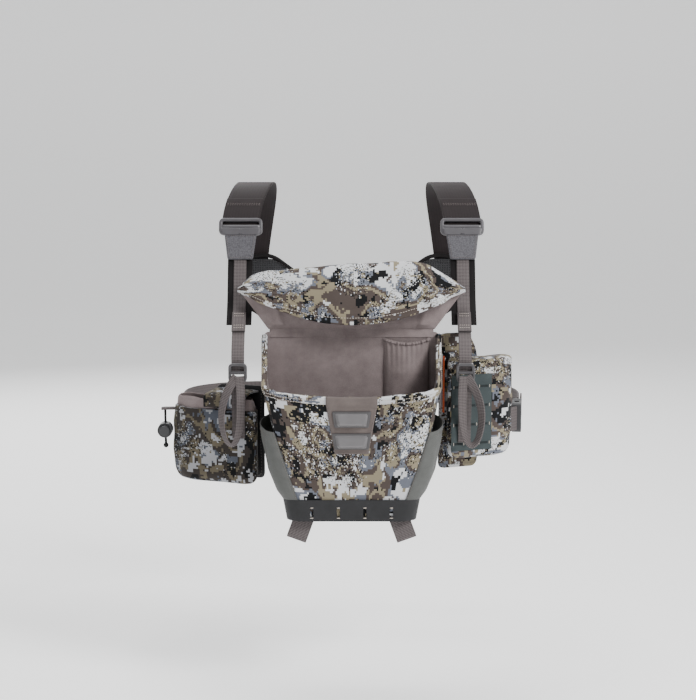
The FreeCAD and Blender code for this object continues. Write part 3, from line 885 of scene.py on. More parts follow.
def stitches(
    name: str, lines: Sequence[Tuple[Array, Array]], pitch_mm: float = 3.0, length_mm: float = 2.1,
    width_mm: float = 0.6, lift_mm: float = 0.15
) -> Piece:
    """Rows of thread: a small round-backed bar at each stitch, sunk at both ends.

    Args:
        name: the piece's name.
        lines: for each row its path and the cloth's outward normal at each point.
        pitch_mm: from one stitch to the next.
        length_mm: a stitch's length.
        width_mm: a stitch's width.
        lift_mm: how far its back stands off the cloth.

    Returns:
        One object with every stitch.
    """
    turn = np.linspace(0, 2 * math.pi, 6, endpoint=False)
    ends = np.array([-0.5, -0.25, 0.25, 0.5])
    fat = np.array([0.45, 1.0, 1.0, 0.45])
    sink = np.array([-0.3, 0.25, 0.25, -0.3])
    verts, faces, base = [], [], 0
    for path, normal in lines:
        reach = along(path)
        count = max(int(reach[-1] / (pitch_mm * MM)), 1)
        places = (np.arange(count) + 0.5) * reach[-1] / count
        at = np.stack([np.interp(places, reach, path[:, k]) for k in range(3)], axis=1)
        out = unit(np.stack([np.interp(places, reach, normal[:, k]) for k in range(3)], axis=1))
        ahead = np.stack([np.interp(places + 1e-4, reach, path[:, k]) for k in range(3)], axis=1)
        back = np.stack([np.interp(places - 1e-4, reach, path[:, k]) for k in range(3)], axis=1)
        run = unit(ahead - back)
        side = unit(np.cross(run, out))
        r = width_mm * MM / 2
        ring = np.cos(turn)[:, None, None] * side + np.sin(turn)[:, None, None] * out
        for e, f, s in zip(ends, fat, sink):
            centre = at + run * e * length_mm * MM + out * (lift_mm * MM + s * r)
            verts.append((centre[None] + ring * r * f).transpose(1, 0, 2))
        block = np.stack(verts[-4:], axis=1).reshape(-1, 3)
        del verts[-4:]
        verts.append(block)
        k = np.arange(6)
        quad = np.stack([k, (k + 1) % 6, (k + 1) % 6 + 6, k + 6], axis=1)
        bars = np.vstack([quad + 6 * step for step in range(3)])
        starts = base + 24 * np.arange(count)
        faces += (bars[None] + starts[:, None, None]).reshape(-1, 4).tolist()
        faces += (np.arange(6)[None, ::-1] + starts[:, None]).tolist()
        faces += (18 + np.arange(6)[None] + starts[:, None]).tolist()
        base += 24 * count
    return make_object(name, np.vstack(verts), faces)


def puff(obj: Piece, cap: float, voxel: float = 0.004, pressure: float = 4.0) -> Piece:
    """Swell a closed soft piece by cloth simulation, and cap how far any of its points may travel.

    The mesh is remeshed evenly, blown up for twenty frames without gravity, and each point's travel
    is scaled back to the cap.

    Args:
        obj: the object.
        cap: most that a point moves.
        voxel: size of the cloth's cells.
        pressure: pressure inside.

    Returns:
        The same piece, swelled.
    """
    modify(obj, "REMESH", mode="VOXEL", voxel_size=voxel, use_smooth_shade=True)
    apply_modifiers(obj)
    before = vertices_of(obj.data)
    cloth = modify(obj, "CLOTH")
    cloth.settings.use_pressure = True
    cloth.settings.uniform_pressure_force = pressure
    cloth.settings.effector_weights.gravity = 0
    cloth.settings.quality = 4
    scene = bpy.context.scene
    for step in range(1, 21):
        scene.frame_set(step)
    shape = obj.evaluated_get(bpy.context.evaluated_depsgraph_get()).data
    after = vertices_of(shape)
    obj.modifiers.clear()
    scene.frame_set(1)
    travel = after - before
    reach = np.linalg.norm(travel, axis=1, keepdims=True)
    capped = travel * np.minimum(1.0, cap / np.maximum(reach, 1e-9))
    obj.data.vertices.foreach_set("co", (before + capped).astype(np.float32).ravel())
    obj.data.update()
    modify(obj, "SUBSURF", levels=1)
    return obj


def vertices_of(mesh: bpy.types.Mesh) -> Array:
    """A mesh's points as an array.

    Args:
        mesh: the mesh.

    Returns:
        The vertices, one to a row.
    """
    flat = np.empty(len(mesh.vertices) * 3, dtype=np.float32)
    mesh.vertices.foreach_get("co", flat)
    return flat.reshape(-1, 3).astype(float)


def apply_modifiers(obj: Piece) -> None:
    """Bake a piece's modifiers into its mesh.

    Args:
        obj: the object.
    """
    shape = obj.evaluated_get(bpy.context.evaluated_depsgraph_get())
    mesh = bpy.data.meshes.new_from_object(shape)
    obj.modifiers.clear()
    old = obj.data
    obj.data = mesh
    bpy.data.meshes.remove(old)


# ---- studio --------------------------------------------------------------------------
@dataclass
class Studio:
    """Camera, soft lights and a pale floor and backdrop."""

    lens_mm: float = 100.0
    distance: float = 1.95
    elevation_deg: float = 7.0
    look_x: float = -0.0035
    look_z: float = 0.076
    world: float = 0.40
    reach: float = 14.0
    sweep_at: float = 3.4
    sweep_radius: float = 0.8
    lamps: Sequence[Tuple[str, Tuple[float, float, float], float, float]] = (
        ("key", (1.35, -1.25, 1.45), 0.7, 60.0),
        ("fill", (-1.8, -1.4, 0.5), 1.4, 7.0),
        ("top", (-0.2, 0.1, 1.9), 0.9, 30.0),
        ("back", (-0.6, 1.9, 1.0), 1.4, 30.0),
    )

    def build(self) -> None:
        """Put up the camera, the lights and the backdrop."""
        scene = bpy.context.scene
        camera = bpy.data.objects.new("camera", bpy.data.cameras.new("camera"))
        camera.data.lens = self.lens_mm
        e = math.radians(self.elevation_deg)
        target = Vector((self.look_x, 0.0, self.look_z))
        back = Vector((0.0, -math.cos(e), math.sin(e)))
        camera.location = target + back * self.distance
        camera.rotation_euler = (-back).to_track_quat("-Z", "Y").to_euler()
        scene.collection.objects.link(camera)
        scene.camera = camera
        for name, place, size, power in self.lamps:
            self.lamp(name, place, size, power)
        world = bpy.data.worlds.new("studio")
        world.use_nodes = True
        world.node_tree.nodes["Background"].inputs["Color"].default_value = (0.94, 0.95, 0.96, 1)
        world.node_tree.nodes["Background"].inputs["Strength"].default_value = self.world
        scene.world = world
        self.floor()

    def lamp(self, name: str, place: Tuple[float, float, float], size: float, power: float) -> None:
        """One square soft light that points at the pack.

        Args:
            name: name of the lamp.
            place: where it stands.
            size: size in metres.
            power: power in watts.
        """
        light = bpy.data.lights.new(name, "AREA")
        light.energy, light.size = power, size
        obj = bpy.data.objects.new(name, light)
        obj.location = place
        aim = Vector((0.0, 0.05, 0.07)) - Vector(place)
        obj.rotation_euler = aim.to_track_quat("-Z", "Y").to_euler()
        bpy.context.scene.collection.objects.link(obj)

    def floor(self) -> None:
        """A pale floor a little under the pack, running up into a backdrop far behind it."""
        level = float(CAD_BOX[0][2]) - 0.16
        turn = np.linspace(0.15, math.pi / 2, 10)
        radius, far = self.sweep_radius, self.sweep_at + self.sweep_radius
        y = np.concatenate([
            np.linspace(-self.reach, self.sweep_at, 8), self.sweep_at + radius * np.sin(turn), [far]
        ])
        z = np.concatenate([np.zeros(8), radius - radius * np.cos(turn), [4.0]]) + level
        x, y = np.meshgrid(np.linspace(-self.reach, self.reach, 6), y)
        grid = np.stack([x, y, z[:, None] + 0 * x], axis=-1)
        paper = surface("floor", grid)
        finish = bpy.data.materials.new("studio_paper")
        finish.use_nodes = True
        shader = finish.node_tree.nodes["Principled BSDF"]
        shader.inputs["Base Color"].default_value = linear("#f6f6f6")
        shader.inputs["Roughness"].default_value = 0.9
        shader.inputs["Emission Color"].default_value = (1.0, 1.0, 1.0, 1.0)
        shader.inputs["Emission Strength"].default_value = 0.30
        paper.data.materials.append(finish)
        paper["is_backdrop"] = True


# ---- the main pouch's form -----------------------------------------------------------
FOOT_Z, RIM_Z, HINGE_Z = -0.086, 0.046, 0.095
FOOT_HALF, RIM_HALF, HINGE_HALF = 0.062, 0.086, 0.088
FOOT_FRONT, RIM_FRONT = -0.062, -0.076
BACK_FACE = -0.006
CORNER = 0.015
BELLY = 0.034  # from the chest face to the middle of the pouch
# a wall point is on the front or back where depth and width weigh so
FRONT_SHARE = (0.09, 0.034 * 0.92)
FLOOR_Z = -0.0835


def pouch_plan(share: Array, z: Array, grow: Array) -> Array:
    """Points on the pouch's outer form.

    The plan is a straight side, a round corner, a straight front and the same again. The share runs
    0 to 1 from the back left to the front left corner, 1 to 2 across the front and 2 to 3 back
    along the right; a corner takes the last quarter of each side. The plan widens upwards from foot
    to rim.

    Args:
        share: where on the plan, 0 to 3.
        z: heights.
        grow: distances out from the form.

    Returns:
        Points with a last axis of three.
    """
    t = np.clip((z - FOOT_Z) / (RIM_Z - FOOT_Z), 0, None)
    over = np.clip((z - RIM_Z) / (HINGE_Z - RIM_Z), 0, 1)
    half = (
        FOOT_HALF + np.minimum(t, 1) * (RIM_HALF - FOOT_HALF) + over * (HINGE_HALF - RIM_HALF)
        + grow
    )
    front = FOOT_FRONT + np.minimum(t, 1) * (RIM_FRONT - FOOT_FRONT) - grow
    r = CORNER + grow
    side = share < 1
    other = share > 2
    s = np.where(side, share, np.where(other, 3 - share, 0.0))
    sign = np.where(other, 1.0, -1.0)
    flat = np.clip(s / 0.75, 0, 1)
    turn = np.clip((s - 0.75) / 0.25, 0, 1) * math.pi / 2
    x_side = half - r * (1 - np.cos(turn))
    y_side = np.where(
        turn > 0, front + r * (1 - np.sin(turn)), BACK_FACE + (front + r - BACK_FACE) * flat
    )
    across = (share - 1) * 2 - 1
    x = np.where(side | other, sign * x_side, across * (half - r))
    y = np.where(side | other, y_side, front)
    return np.stack([x, y, z + 0 * x], axis=-1)


def mouth_height(points: Array) -> Array:
    """The height of the pouch's mouth over points of its plan: a dip in front, a rise to the back.

    Args:
        points: places on the wall.

    Returns:
        The height of the mouth at each point.
    """
    x, y = points[..., 0], points[..., 1]
    dip = RIM_Z - 0.008 * (1 - np.clip(np.abs(x) / RIM_HALF, 0, 1) ** 2)
    slope = np.interp(y, [-0.066, -0.058, -0.010, 0.0], [RIM_Z, 0.052, 0.092, 0.092])
    blend = np.clip((np.abs(x) - 0.068) / 0.012, 0, 1)
    return dip * (1 - blend) + np.maximum(slope, dip) * blend


def ripple(points: Array, seed: int, size: float, height: float, count: int = 7) -> Array:
    """A smooth random field over space: the mean of a few sine waves with random directions.

    Args:
        points: where to read it.
        seed: picks the waves.
        size: the waves' length.
        height: the field's largest value, more or less.
        count: how many waves.

    Returns:
        One number for each point.
    """
    rng = np.random.default_rng(seed)
    total = np.zeros(points.shape[:-1])
    for _ in range(count):
        way = unit(rng.normal(size=3))
        length = size * rng.uniform(0.6, 1.5)
        total += np.sin(points @ way * 2 * math.pi / length + rng.uniform(0, 6.28))
    return total / math.sqrt(count) * height


def shell_grid(outer: Array, inner: Array, steps: int = 5) -> Array:
    """Rows up an outer surface, over a round rim and down an inner one.

    Args:
        outer: rows from the foot to the rim, by columns.
        inner: the same on the inside.
        steps: rows over the rim.

    Returns:
        One grid of all rows.
    """
    mid = (outer[-1] + inner[-1]) / 2
    out = outer[-1] - mid
    up = unit(outer[-1] - outer[-2]) * np.linalg.norm(out, axis=-1, keepdims=True)
    turn = np.linspace(0, math.pi, steps + 2)[1:-1, None, None]
    rim = mid + np.cos(turn) * out + np.sin(turn) * up
    return np.concatenate([outer, rim, inner[::-1]])


def two_sided(obj: Piece, rows: int, outer_rows: int) -> None:
    """Give the inner rows of a shell grid the second material.

    Args:
        obj: the object.
        rows: rows of the surface in all.
        outer_rows: rows that show the outer finish.
    """
    cols = (len(obj.data.polygons) - 2) // rows
    index = np.zeros(len(obj.data.polygons), dtype=np.int32)
    index[outer_rows * cols : (rows - 1) * cols] = 1
    obj.data.polygons.foreach_set("material_index", index)


@dataclass(frozen=True)
class Shell:
    """A panel of the pouch's wall from the floor to the mouth, with its lining."""

    name: str
    nodes: Sequence[str]
    start: float
    end: float
    columns: int
    bulge: float

    def build(self) -> Piece:
        """Make the wall: print outside, lining inside, thickest between its seams.

        Returns:
            The piece.
        """
        share = np.linspace(self.start, self.end, self.columns)[None, :]
        base = pouch_plan(share, np.array([[0.03]]), np.zeros((1, self.columns)))
        top = mouth_height(base)
        rows = 46
        v = np.linspace(0, 1, rows)[:, None]
        z = FLOOR_Z + v * (top - FLOOR_Z)
        u = (share - self.start) / (self.end - self.start)
        room = np.clip((z + 0.062) / 0.02, 0, 1) * np.clip((top - z) / 0.012, 0, 1)
        seams = np.clip(np.minimum(u, 1 - u) * 9, 0, 1)
        swell = (
            self.bulge * np.sin(math.pi * u) ** 0.6 * np.sin(math.pi * np.clip(v, 0, 1)) ** 0.7
            * room
        )
        flat = pouch_plan(share, z, np.zeros_like(z))
        folds = ripple(flat, 11, 0.060, 0.0011) + ripple(flat, 12, 0.024, 0.00045)
        catch = np.clip(
            np.maximum(np.abs(flat[..., 0]) - 0.026, -0.022 - flat[..., 2]) / 0.010, 0, 1
        )
        outer = pouch_plan(
            share, z, (swell + folds * seams) * room * np.where(flat[..., 1] < -0.055, catch, 1.0)
        )
        inner = pouch_plan(share, z, -0.0024 + 0 * z)
        grid = shell_grid(outer, inner)
        origin = (float(self.start * 0.09), 0.0)
        obj = surface(self.name, grid, over=True, caps=True, uv_origin=origin)
        two_sided(obj, len(grid), rows + 3)
        return dress(obj, CAMO, LINING, slot="camo_fabric", replaces=self.nodes)


@dataclass
class MainPouch:
    """The pouch on the chest: walls, hem, foot, stretch pockets, catches, lining and zip."""

    pocket_top: float = 0.008
    pocket_foot: float = -0.066
    hem_section: Sequence[Pair] = (
        (0.0075, 0.0005), (0.0045, 0.0012), (0.0025, 0.0016), (0.0, 0.0016), (-0.0011, 0.0006),
        (-0.0011, -0.0030), (0.0, -0.0040), (0.0025, -0.0040), (0.0075, -0.0030), (0.0075, -0.0012),
    )
    placket_foot: float = -0.0175
    placket_tall: float = 0.0570
    placket_half: Pair = (0.0165, 0.0250)
    placket_taper: float = 0.0495
    catches: Sequence[Tuple[str, float, str]] = (
        ("catch_upper", 0.024, "cleat_upper"), ("catch_lower", 0.002, "cleat_lower"),
    )
    catch_rows: Sequence[Tuple[float, float, float]] = (
        (0.0006, -0.0012, 0.0182), (-0.0002, -0.0026, 0.0180), (-0.0024, -0.0046, 0.0168),
        (-0.0094, -0.0068, 0.0152), (-0.0112, -0.0066, 0.0150), (-0.0134, -0.0030, 0.0154),
        (-0.0136, -0.0012, 0.0155),
    )
    zip_y: float = -0.0095
    pull_at: Pair = (0.0921, -0.0094)
    slot_pitch: float = 0.026

    def build(self) -> None:
        """Make every piece of the main pouch."""
        Shell("front_wall", ("front_panel",), 0.86, 2.14, 96, 0.0012).build()
        Shell("gusset_wall_left", ("gusset_left",), 0.0, 0.86, 60, 0.0006).build()
        Shell("gusset_wall_right", ("gusset_right",), 2.14, 3.0, 60, 0.0006).build()
        self.hem()
        self.placket()
        self.cleats()
        for side in (-1, 1):
            self.stretch_pocket(side)
            self.tab(side)
        self.back()
        self.inner_pocket()
        self.zip()
        self.foot()

    def mouth(self, count: int, grow: float, drop: float, ends: float = 0.02) -> Array:
        """Points along the mouth at a distance out from the wall and below its edge.

        Args:
            count: number of points that come back.
            grow: how far it stands out.
            drop: how far below the mouth's edge.
            ends: share of the mouth left out at each end.

        Returns:
            Points of the mouth's line.
        """
        share = np.linspace(ends, 3 - ends, count)
        base = pouch_plan(share, np.full(count, 0.03), np.zeros(count))
        z = mouth_height(base) - drop
        return pouch_plan(share, z, np.full(count, grow))

    def hem(self) -> None:
        """Rolled hem: a folded band over the edge, fuller at its fold, with two rows of
        stitches."""
        count = 260
        share = np.linspace(0.0, 3.0, count)
        base = pouch_plan(share, np.full(count, 0.03), np.zeros(count))
        top = mouth_height(base)
        drops, grows = np.array(self.hem_section).T
        z = top[None] - drops[:, None]
        grid = pouch_plan(share[None], z, grows[:, None] + 0 * z)
        pucker = ripple(grid, 21, 0.016, 0.00035) * (drops < 0.003)[:, None]
        grid[..., 2] += pucker
        hem = surface("mouth_hem", grid, over=True, caps=True, uv_origin=(0.0, 0.3))
        modify(hem, "SUBSURF", levels=1)
        dress(hem, CAMO, slot="camo_fabric", replaces=("rim_binding",))
        lines = []
        for drop, grow in ((0.0030, 0.0017), (0.0062, 0.0012)):
            path = self.mouth(420, grow, drop)
            lines.append((path, outward(path)))
        thread = stitches("mouth_hem_stitches", lines, 2.6, 1.9, 0.5)
        dress(thread, THREAD_PALE)

    def on_front(self, points: Array) -> Array:
        """Lay points made against a front at y = 0 on the pouch's leaning front face.

        Args:
            points: places in the front's own frame.

        Returns:
            The points on the front's surface.
        """
        lean = math.atan2(FOOT_FRONT - RIM_FRONT, RIM_Z - FOOT_Z)
        face_y = RIM_FRONT + (FOOT_FRONT - RIM_FRONT) * RIM_Z / (RIM_Z - FOOT_Z)
        y = points[..., 1] * math.cos(lean) - points[..., 2] * math.sin(lean) + face_y
        z = points[..., 1] * math.sin(lean) + points[..., 2] * math.cos(lean)
        return np.stack([points[..., 0], y, z], axis=-1)

    def placket(self) -> None:
        """Trapezoid of stretch knit with a fold at each side, and its stitches."""
        u, v = np.meshgrid(np.linspace(-1, 1, 40), np.linspace(0, 1, 40), indexing="xy")
        z = self.placket_foot + v * (self.placket_tall + 0.0008 * u**2)
        low_half, high_half = self.placket_half
        widen = (high_half - low_half) / self.placket_taper
        half = low_half + np.minimum(z - self.placket_foot, self.placket_taper) * widen
        edge = np.minimum(1 - np.abs(u), np.minimum(v, 1 - v) * 1.4)
        puffed = (
            0.0008 + 0.0006 * np.clip(edge * 8, 0, 1) ** 0.5
            + 0.0016 * np.clip((z - 0.029) / 0.003, 0, 1)
        )
        front = self.on_front(np.stack([u * half, -puffed, z], axis=-1))
        back = self.on_front(np.stack([u * half, 0 * z + 0.0004, z], axis=-1))
        grid = np.concatenate([front, back[::-1]])
        obj = surface("placket_cloth", grid, over=True, caps=True)
        dress(obj, PLACKET, slot="stretch_woven", replaces=("placket",))
        t = np.linspace(0, 1, 40)
        lines = []
        for side in (-1, 1):
            zz = -0.016 + t * 0.047
            hx = low_half + (zz - self.placket_foot) * widen - 0.0012
            line = self.on_front(np.stack([side * hx, 0 * t - 0.0018, zz], axis=-1))
            lines.append((line, outward(line)))
        xx = np.linspace(-0.0155, 0.0155, 30)
        line = self.on_front(np.stack([xx, 0 * xx - 0.0016, 0 * xx - 0.0162], axis=-1))
        lines.append((line, outward(line)))
        dress(stitches("placket_stitches", lines, 2.4, 1.8, 0.45), THREAD)

    def cleats(self) -> None:
        """Two ramps: bevelled trapezoids with a raised face that undercuts at the foot; each flange
        is painted shade.
        """
        cols = np.array([-1.0, -1.0, -1.0, 1.0, 1.0, 1.0])
        inset = np.array([0.0, 0.0006, 0.0036, 0.0036, 0.0006, 0.0])
        proud = np.array([0.0, 0.30, 1.0, 1.0, 0.30, 0.0])
        rise, y, half = np.array(self.catch_rows).T[..., None]
        for name, top, node in self.catches:
            depth = y * proud - 0.0012 * (1 - proud)
            grid = np.stack([cols * (half - inset), depth, 0 * cols + top + rise], axis=-1)
            obj = surface(name, self.on_front(grid), over=True, caps=True)
            obj.data.polygons.foreach_set(
                "use_smooth", np.zeros(len(obj.data.polygons), dtype=bool)
            )
            modify(obj, "BEVEL", width=0.0004, segments=3, limit_method="ANGLE", angle_limit=0.35)
            dress(obj, CLEAT, slot="acetal", replaces=(node,))
            rim = np.array([
                (-0.0166, top - 0.0146), (0.0166, top - 0.0146), (0.0192, top + 0.0016),
                (-0.0192, top + 0.0016)
            ])
            # a thin darker plate just larger than the cleat: painted shade round its edges and
            # under its foot
            flange = pad_plate(
                name + "_flange", rim, -0.0027, -0.0008, 0.0014, 0.0005, self.on_front
            )
            dress(flange, CLEAT_PAINTED_SHADE)

    def stretch_pocket(self, side: int) -> None:
        """Smooth pocket stretched over a gusset and round the front corner, open at its top.

        Args:
            side: -1 for the left pocket, 1 for the right one.
        """
        rows, cols = 44, 48
        v = np.linspace(0, 1, rows)[:, None]
        u = np.linspace(0, 1, cols)[None, :]
        z = self.pocket_foot + v * (self.pocket_top - self.pocket_foot) + 0 * u
        z = z + 0.010 * v**3 * (0.5 - u)
        start, end = 0.10, 0.985 - 0.125 * v
        share = start + u * (end - start)
        lens = np.sin(math.pi * np.clip(u, 0.001, 0.999)) ** 0.65
        tall = np.interp(v, [0, 0.12, 0.4, 0.8, 1.0], [0.0, 0.55, 0.95, 1.0, 0.92])
        bulge = 0.0012 + 0.0112 * lens * tall
        dimple = ripple(pouch_plan(share, z, bulge), 31 + side, 0.05, 0.0005)
        outer = pouch_plan(share, z, bulge + dimple * lens * np.sin(math.pi * v))
        inner = pouch_plan(share, z, bulge - 0.0011)
        grid = shell_grid(outer, inner)
        if side > 0:
            grid[..., 0] *= -1
            grid = grid[:, ::-1]
        name = "stretch_pocket_right" if side > 0 else "stretch_pocket_left"
        obj = surface(name + "_cloth", grid, over=True, caps=True)
        dress(obj, STRETCH, slot="stretch_woven", replaces=(name,))
        lines = []
        for edge, beside in ((-1, -2), (0, 1)):
            line = outer[2:, edge] * 0.6 + outer[2:, beside] * 0.4
            if side > 0:
                line = line * np.array([-1, 1, 1])
            lines.append((resample(line, 80), outward(resample(line, 80))))
        hem = outer[-4, 3:-3] if side < 0 else outer[-4, 3:-3] * np.array([-1, 1, 1])
        lines.append((hem, outward(hem)))
        dress(stitches(name + "_stitches", lines, 2.6, 1.9, 0.45, 0.2), THREAD)

    def tab(self, side: int) -> None:
        """Folded webbing tab under the foot, turned outwards.

        Args:
            side: -1 for the left tab, 1 for the right one.
        """
        lean = math.radians(20)
        drop = np.array([0.0, 0.006, 0.014, 0.020, 0.0225, 0.020, 0.014, 0.006, 0.0])
        depth = np.array([-0.0009, -0.0011, -0.0015, -0.0016, 0.0, 0.0016, 0.0015, 0.0011, 0.0009])
        x = 0.047 + drop * math.sin(lean)
        z = -0.0845 - drop * math.cos(lean)
        path = curve_through(np.stack([side * x, depth - 0.054, z], axis=1), 60)
        across = np.array([math.cos(lean), 0.0, math.sin(lean) * side])
        obj = ribbon("foot_tab_left" if side < 0 else "foot_tab_right", path, across, 0.020, 0.0015)
        dress(obj, WEBBING, slot="webbing", replaces=("bottom_tabs",))

    def back(self) -> None:
        """Padded back in three layers: lining towards the pouch, a foam wall, and spacer mesh on
        the chest."""
        outline = np.array([
            (0.064, FOOT_Z), (HINGE_HALF, RIM_Z), (HINGE_HALF, HINGE_Z), (-HINGE_HALF, HINGE_Z),
            (-HINGE_HALF, RIM_Z), (-0.064, FOOT_Z)
        ])
        wall = pad_of("back_wall", outline, -0.006, -0.0021, 0.006, 0.0008)
        dress(wall, LINING, slot="brushed_lining", replaces=("back_panel",))
        inner = outline * np.array([0.985, 0.985]) + np.array([0, 0.0006])
        mesh = pad_of("back_pad", inner, -0.0020, 0.0, 0.008, 0.0006)
        dress(mesh, MESH, slot="spacer_mesh", replaces=("back_mesh",))

    def inner_pocket(self) -> None:
        """Elastic-topped pocket of lining cloth on the back wall, gathered under a rolled hem."""
        rows, cols = 40, 60
        v = np.linspace(0, 1, rows)[:, None]
        u = np.linspace(0, 1, cols)[None, :]
        x = 0.0325 + u * 0.045
        z = 0.012 + v * 0.071 + 0.004 * v * (np.abs(u - 0.5) * 2) ** 2
        swell = (
            np.sin(math.pi * np.clip(u, 0.0, 1)) ** 0.5
            * np.interp(v, [0, 0.15, 0.6, 1], [0.0, 0.7, 1.0, 0.75])
        )
        gather = 0.0006 * np.sin(u * 2 * math.pi * 9) * v**4
        wrinkle = ripple(np.stack([x + 0 * z, 0 * z, z], axis=-1), 41, 0.025, 0.0007)
        y = -0.0062 - 0.0095 * swell + gather + wrinkle * swell * (1 - v**3)
        outer = np.stack([x + 0 * z, y, z], axis=-1)
        inner = outer + np.array([0, 0.0011, 0])
        grid = shell_grid(outer, inner)
        obj = surface("inner_pocket_cloth", grid[:, ::-1], over=True, caps=True)
        dress(obj, LINING, slot="brushed_lining", replaces=("inner_pocket",))
        path = outer[-1] + np.array([0, 0.0004, 0.0006])
        count = 160
        path = resample(path, count)
        t = np.linspace(0, 1, count)
        radius = 0.0017 + 0.00035 * np.sin(t * 2 * math.pi * 26)
        roll = bead("inner_pocket_roll", path, radius)
        dress(roll, LINING, slot="brushed_lining", replaces=("inner_pocket_hem",))

    def zip(self) -> None:
        """Zip up the right gusset: tape, coil, slider, and a long soft orange pull."""
        z = np.linspace(-0.014, 0.076, 60)
        left = pouch_plan(np.full(60, 2.9), z, np.full(60, 0.0006))
        mid = np.stack([left[:, 0], np.full(60, self.zip_y), z], axis=-1)
        tape = ribbon("zip_tape_cloth", mid, Y_AXIS, 0.007, 0.0010)
        dress(tape, ELASTIC, slot="zip_coil", replaces=("zip_tape",))
        coil = stitches(
            "zip_coil", [(mid + np.array([0.0006, 0, 0]), outward(mid))], 1.3, 0.9, 2.2, 0.1
        )
        dress(coil, BLACK)
        x, y = self.pull_at
        pull_path = curve_through([(x, y, z) for z in (0.071, 0.05, 0.03, 0.0145)], 50)
        t = np.linspace(0, 1, 50)
        widths = 0.82 + 0.18 * np.sin(math.pi * t) ** 0.5
        pull = ribbon("zip_pull_cloth", pull_path, Y_AXIS, 0.0052, 0.0020, widths=widths)
        dress(pull, ORANGE, body="zip_puller", slot="orange_pull", replaces=("zip_pull",))

    def foot(self) -> None:
        """Pale bar stitches over and under each slot of the foot's band."""
        lines = []
        for i in range(4):
            x = (i - 1.5) * self.slot_pitch
            for z in (-0.0822, -0.0718):
                path = np.array([[x - 0.0018, 0, z], [x + 0.0018, 0, z]])
                t = (z - FOOT_Z) / (RIM_Z - FOOT_Z)
                path[:, 1] = FOOT_FRONT + t * (RIM_FRONT - FOOT_FRONT) - 0.0019
                lines.append((path, np.array([[0, -1.0, 0]] * 2)))
        dress(stitches("foot_bar_stitches", lines, 3.4, 3.2, 0.9, 0.1), THREAD_PALE)


def outward(path: Array) -> Array:
    """Directions away from the pouch's middle, level: mostly square to the nearest wall, a little
    radial.

    Args:
        path: points of the line, one to a row.

    Returns:
        The level direction away from the body at each point.
    """
    centre = np.array([0.0, -BELLY, 0.0])
    out = (path - centre) * np.array([1.0, 1.0, 0.0])
    depth, width = np.abs(out[:, 1]) * FRONT_SHARE[0], np.abs(out[:, 0]) * FRONT_SHARE[1]
    ahead = Y_AXIS * np.sign(out[:, 1:2])
    aside = X_AXIS * np.sign(out[:, :1])
    return unit(np.where((depth > width)[:, None], ahead, aside) * 0.8 + unit(out) * 0.2)


def bead(name: str, path: Array, radius: Array, around: int = 12) -> Piece:
    """A round bar whose radius changes along its path.

    Args:
        name: name of the piece.
        path: points of the line, one to a row.
        radius: radius in metres.
        around: points round the tube.

    Returns:
        The piece.
    """
    run = unit(np.gradient(path, axis=0))
    side = unit(np.cross(run, Z_AXIS))
    up = np.cross(side, run)
    turn = np.linspace(0, 2 * math.pi, around, endpoint=False)
    ring = np.cos(turn)[None, :, None] * side[:, None] + np.sin(turn)[None, :, None] * up[:, None]
    return surface(name, path[:, None] + radius[:, None, None] * ring, around=True, caps=True)


def round_outline(corners: Array, radius: float, count: int) -> Array:
    """A closed polygon with rounded corners, as evenly spaced points.

    Each corner is replaced by a quadratic curve between the points a radius away along its two
    sides.

    Args:
        corners: corners of the outline.
        radius: radius in metres.
        count: number of points that come back.

    Returns:
        The rounded outline.
    """
    before, after = np.roll(corners, 1, 0), np.roll(corners, -1, 0)
    room_a = np.minimum(radius, np.linalg.norm(before - corners, axis=1) * 0.48)[:, None]
    room_b = np.minimum(radius, np.linalg.norm(after - corners, axis=1) * 0.48)[:, None]
    a = corners + unit(before - corners) * room_a
    b = corners + unit(after - corners) * room_b
    t = np.linspace(0, 1, 9)[None, :, None]
    arcs = a[:, None] * (1 - t) ** 2 + corners[:, None] * 2 * t * (1 - t) + b[:, None] * t**2
    line = arcs.reshape(-1, corners.shape[1])
    closed = np.vstack([line, line[:1]])
    return resample(closed, count + 1)[:-1]


def pad_of(
    name: str, outline: Array, front: float, back: float, corner: float, edge: float,
    count: int = 200
) -> Piece:
    """A flat pad between two planes across Y: a rounded outline carried inwards ring by ring.

    Rings shrink towards the middle, and the outer ones round over from the rim to each face.

    Args:
        name: name of the piece.
        outline: outline as x and z.
        front: y of its front face.
        back: y of its back face.
        corner: radius of the corners.
        edge: radius of the edge.
        count: points to a ring.

    Returns:
        The piece.
    """
    ring = round_outline(outline, corner, count)
    middle = ring.mean(axis=0)
    mid_y, half = (front + back) / 2, (back - front) / 2
    turn = np.linspace(0, math.pi / 2, 5)
    rows = []
    shrink = [0.02, 0.25, 0.5, 0.72, 0.88, 0.96]
    reach = np.linalg.norm(ring - middle, axis=1, keepdims=True)

    def inset(distance: float) -> Array:
        """The outline moved inwards by a distance."""
        return middle + (ring - middle) * (1 - distance / reach)

    for s in shrink:
        rows.append((middle + (ring - middle) * s * (1 - edge * 1.6 / 0.05), front))
    for a in turn[::-1]:
        rows.append((inset(edge * (1 - math.cos(a))), mid_y - half * math.sin(a)))
    for a in turn[1:]:
        rows.append((inset(edge * (1 - math.cos(a))), mid_y + half * math.sin(a)))
    for s in shrink[::-1]:
        rows.append((middle + (ring - middle) * s * (1 - edge * 1.6 / 0.05), back))
    grid = np.stack([np.stack([r[:, 0], np.full(len(r), y), r[:, 1]], axis=-1) for r, y in rows])
    obj = surface(name, grid, around=True, caps=True)
    flat_uv(obj)
    return obj


def corner_points(mesh: bpy.types.Mesh) -> Array:
    """The place of each face's corner, in the order of the faces.

    Args:
        mesh: the mesh.

    Returns:
        The points, one to a row.
    """
    corner = np.empty(len(mesh.loops), dtype=np.int32)
    mesh.loops.foreach_get("vertex_index", corner)
    return vertices_of(mesh)[corner]


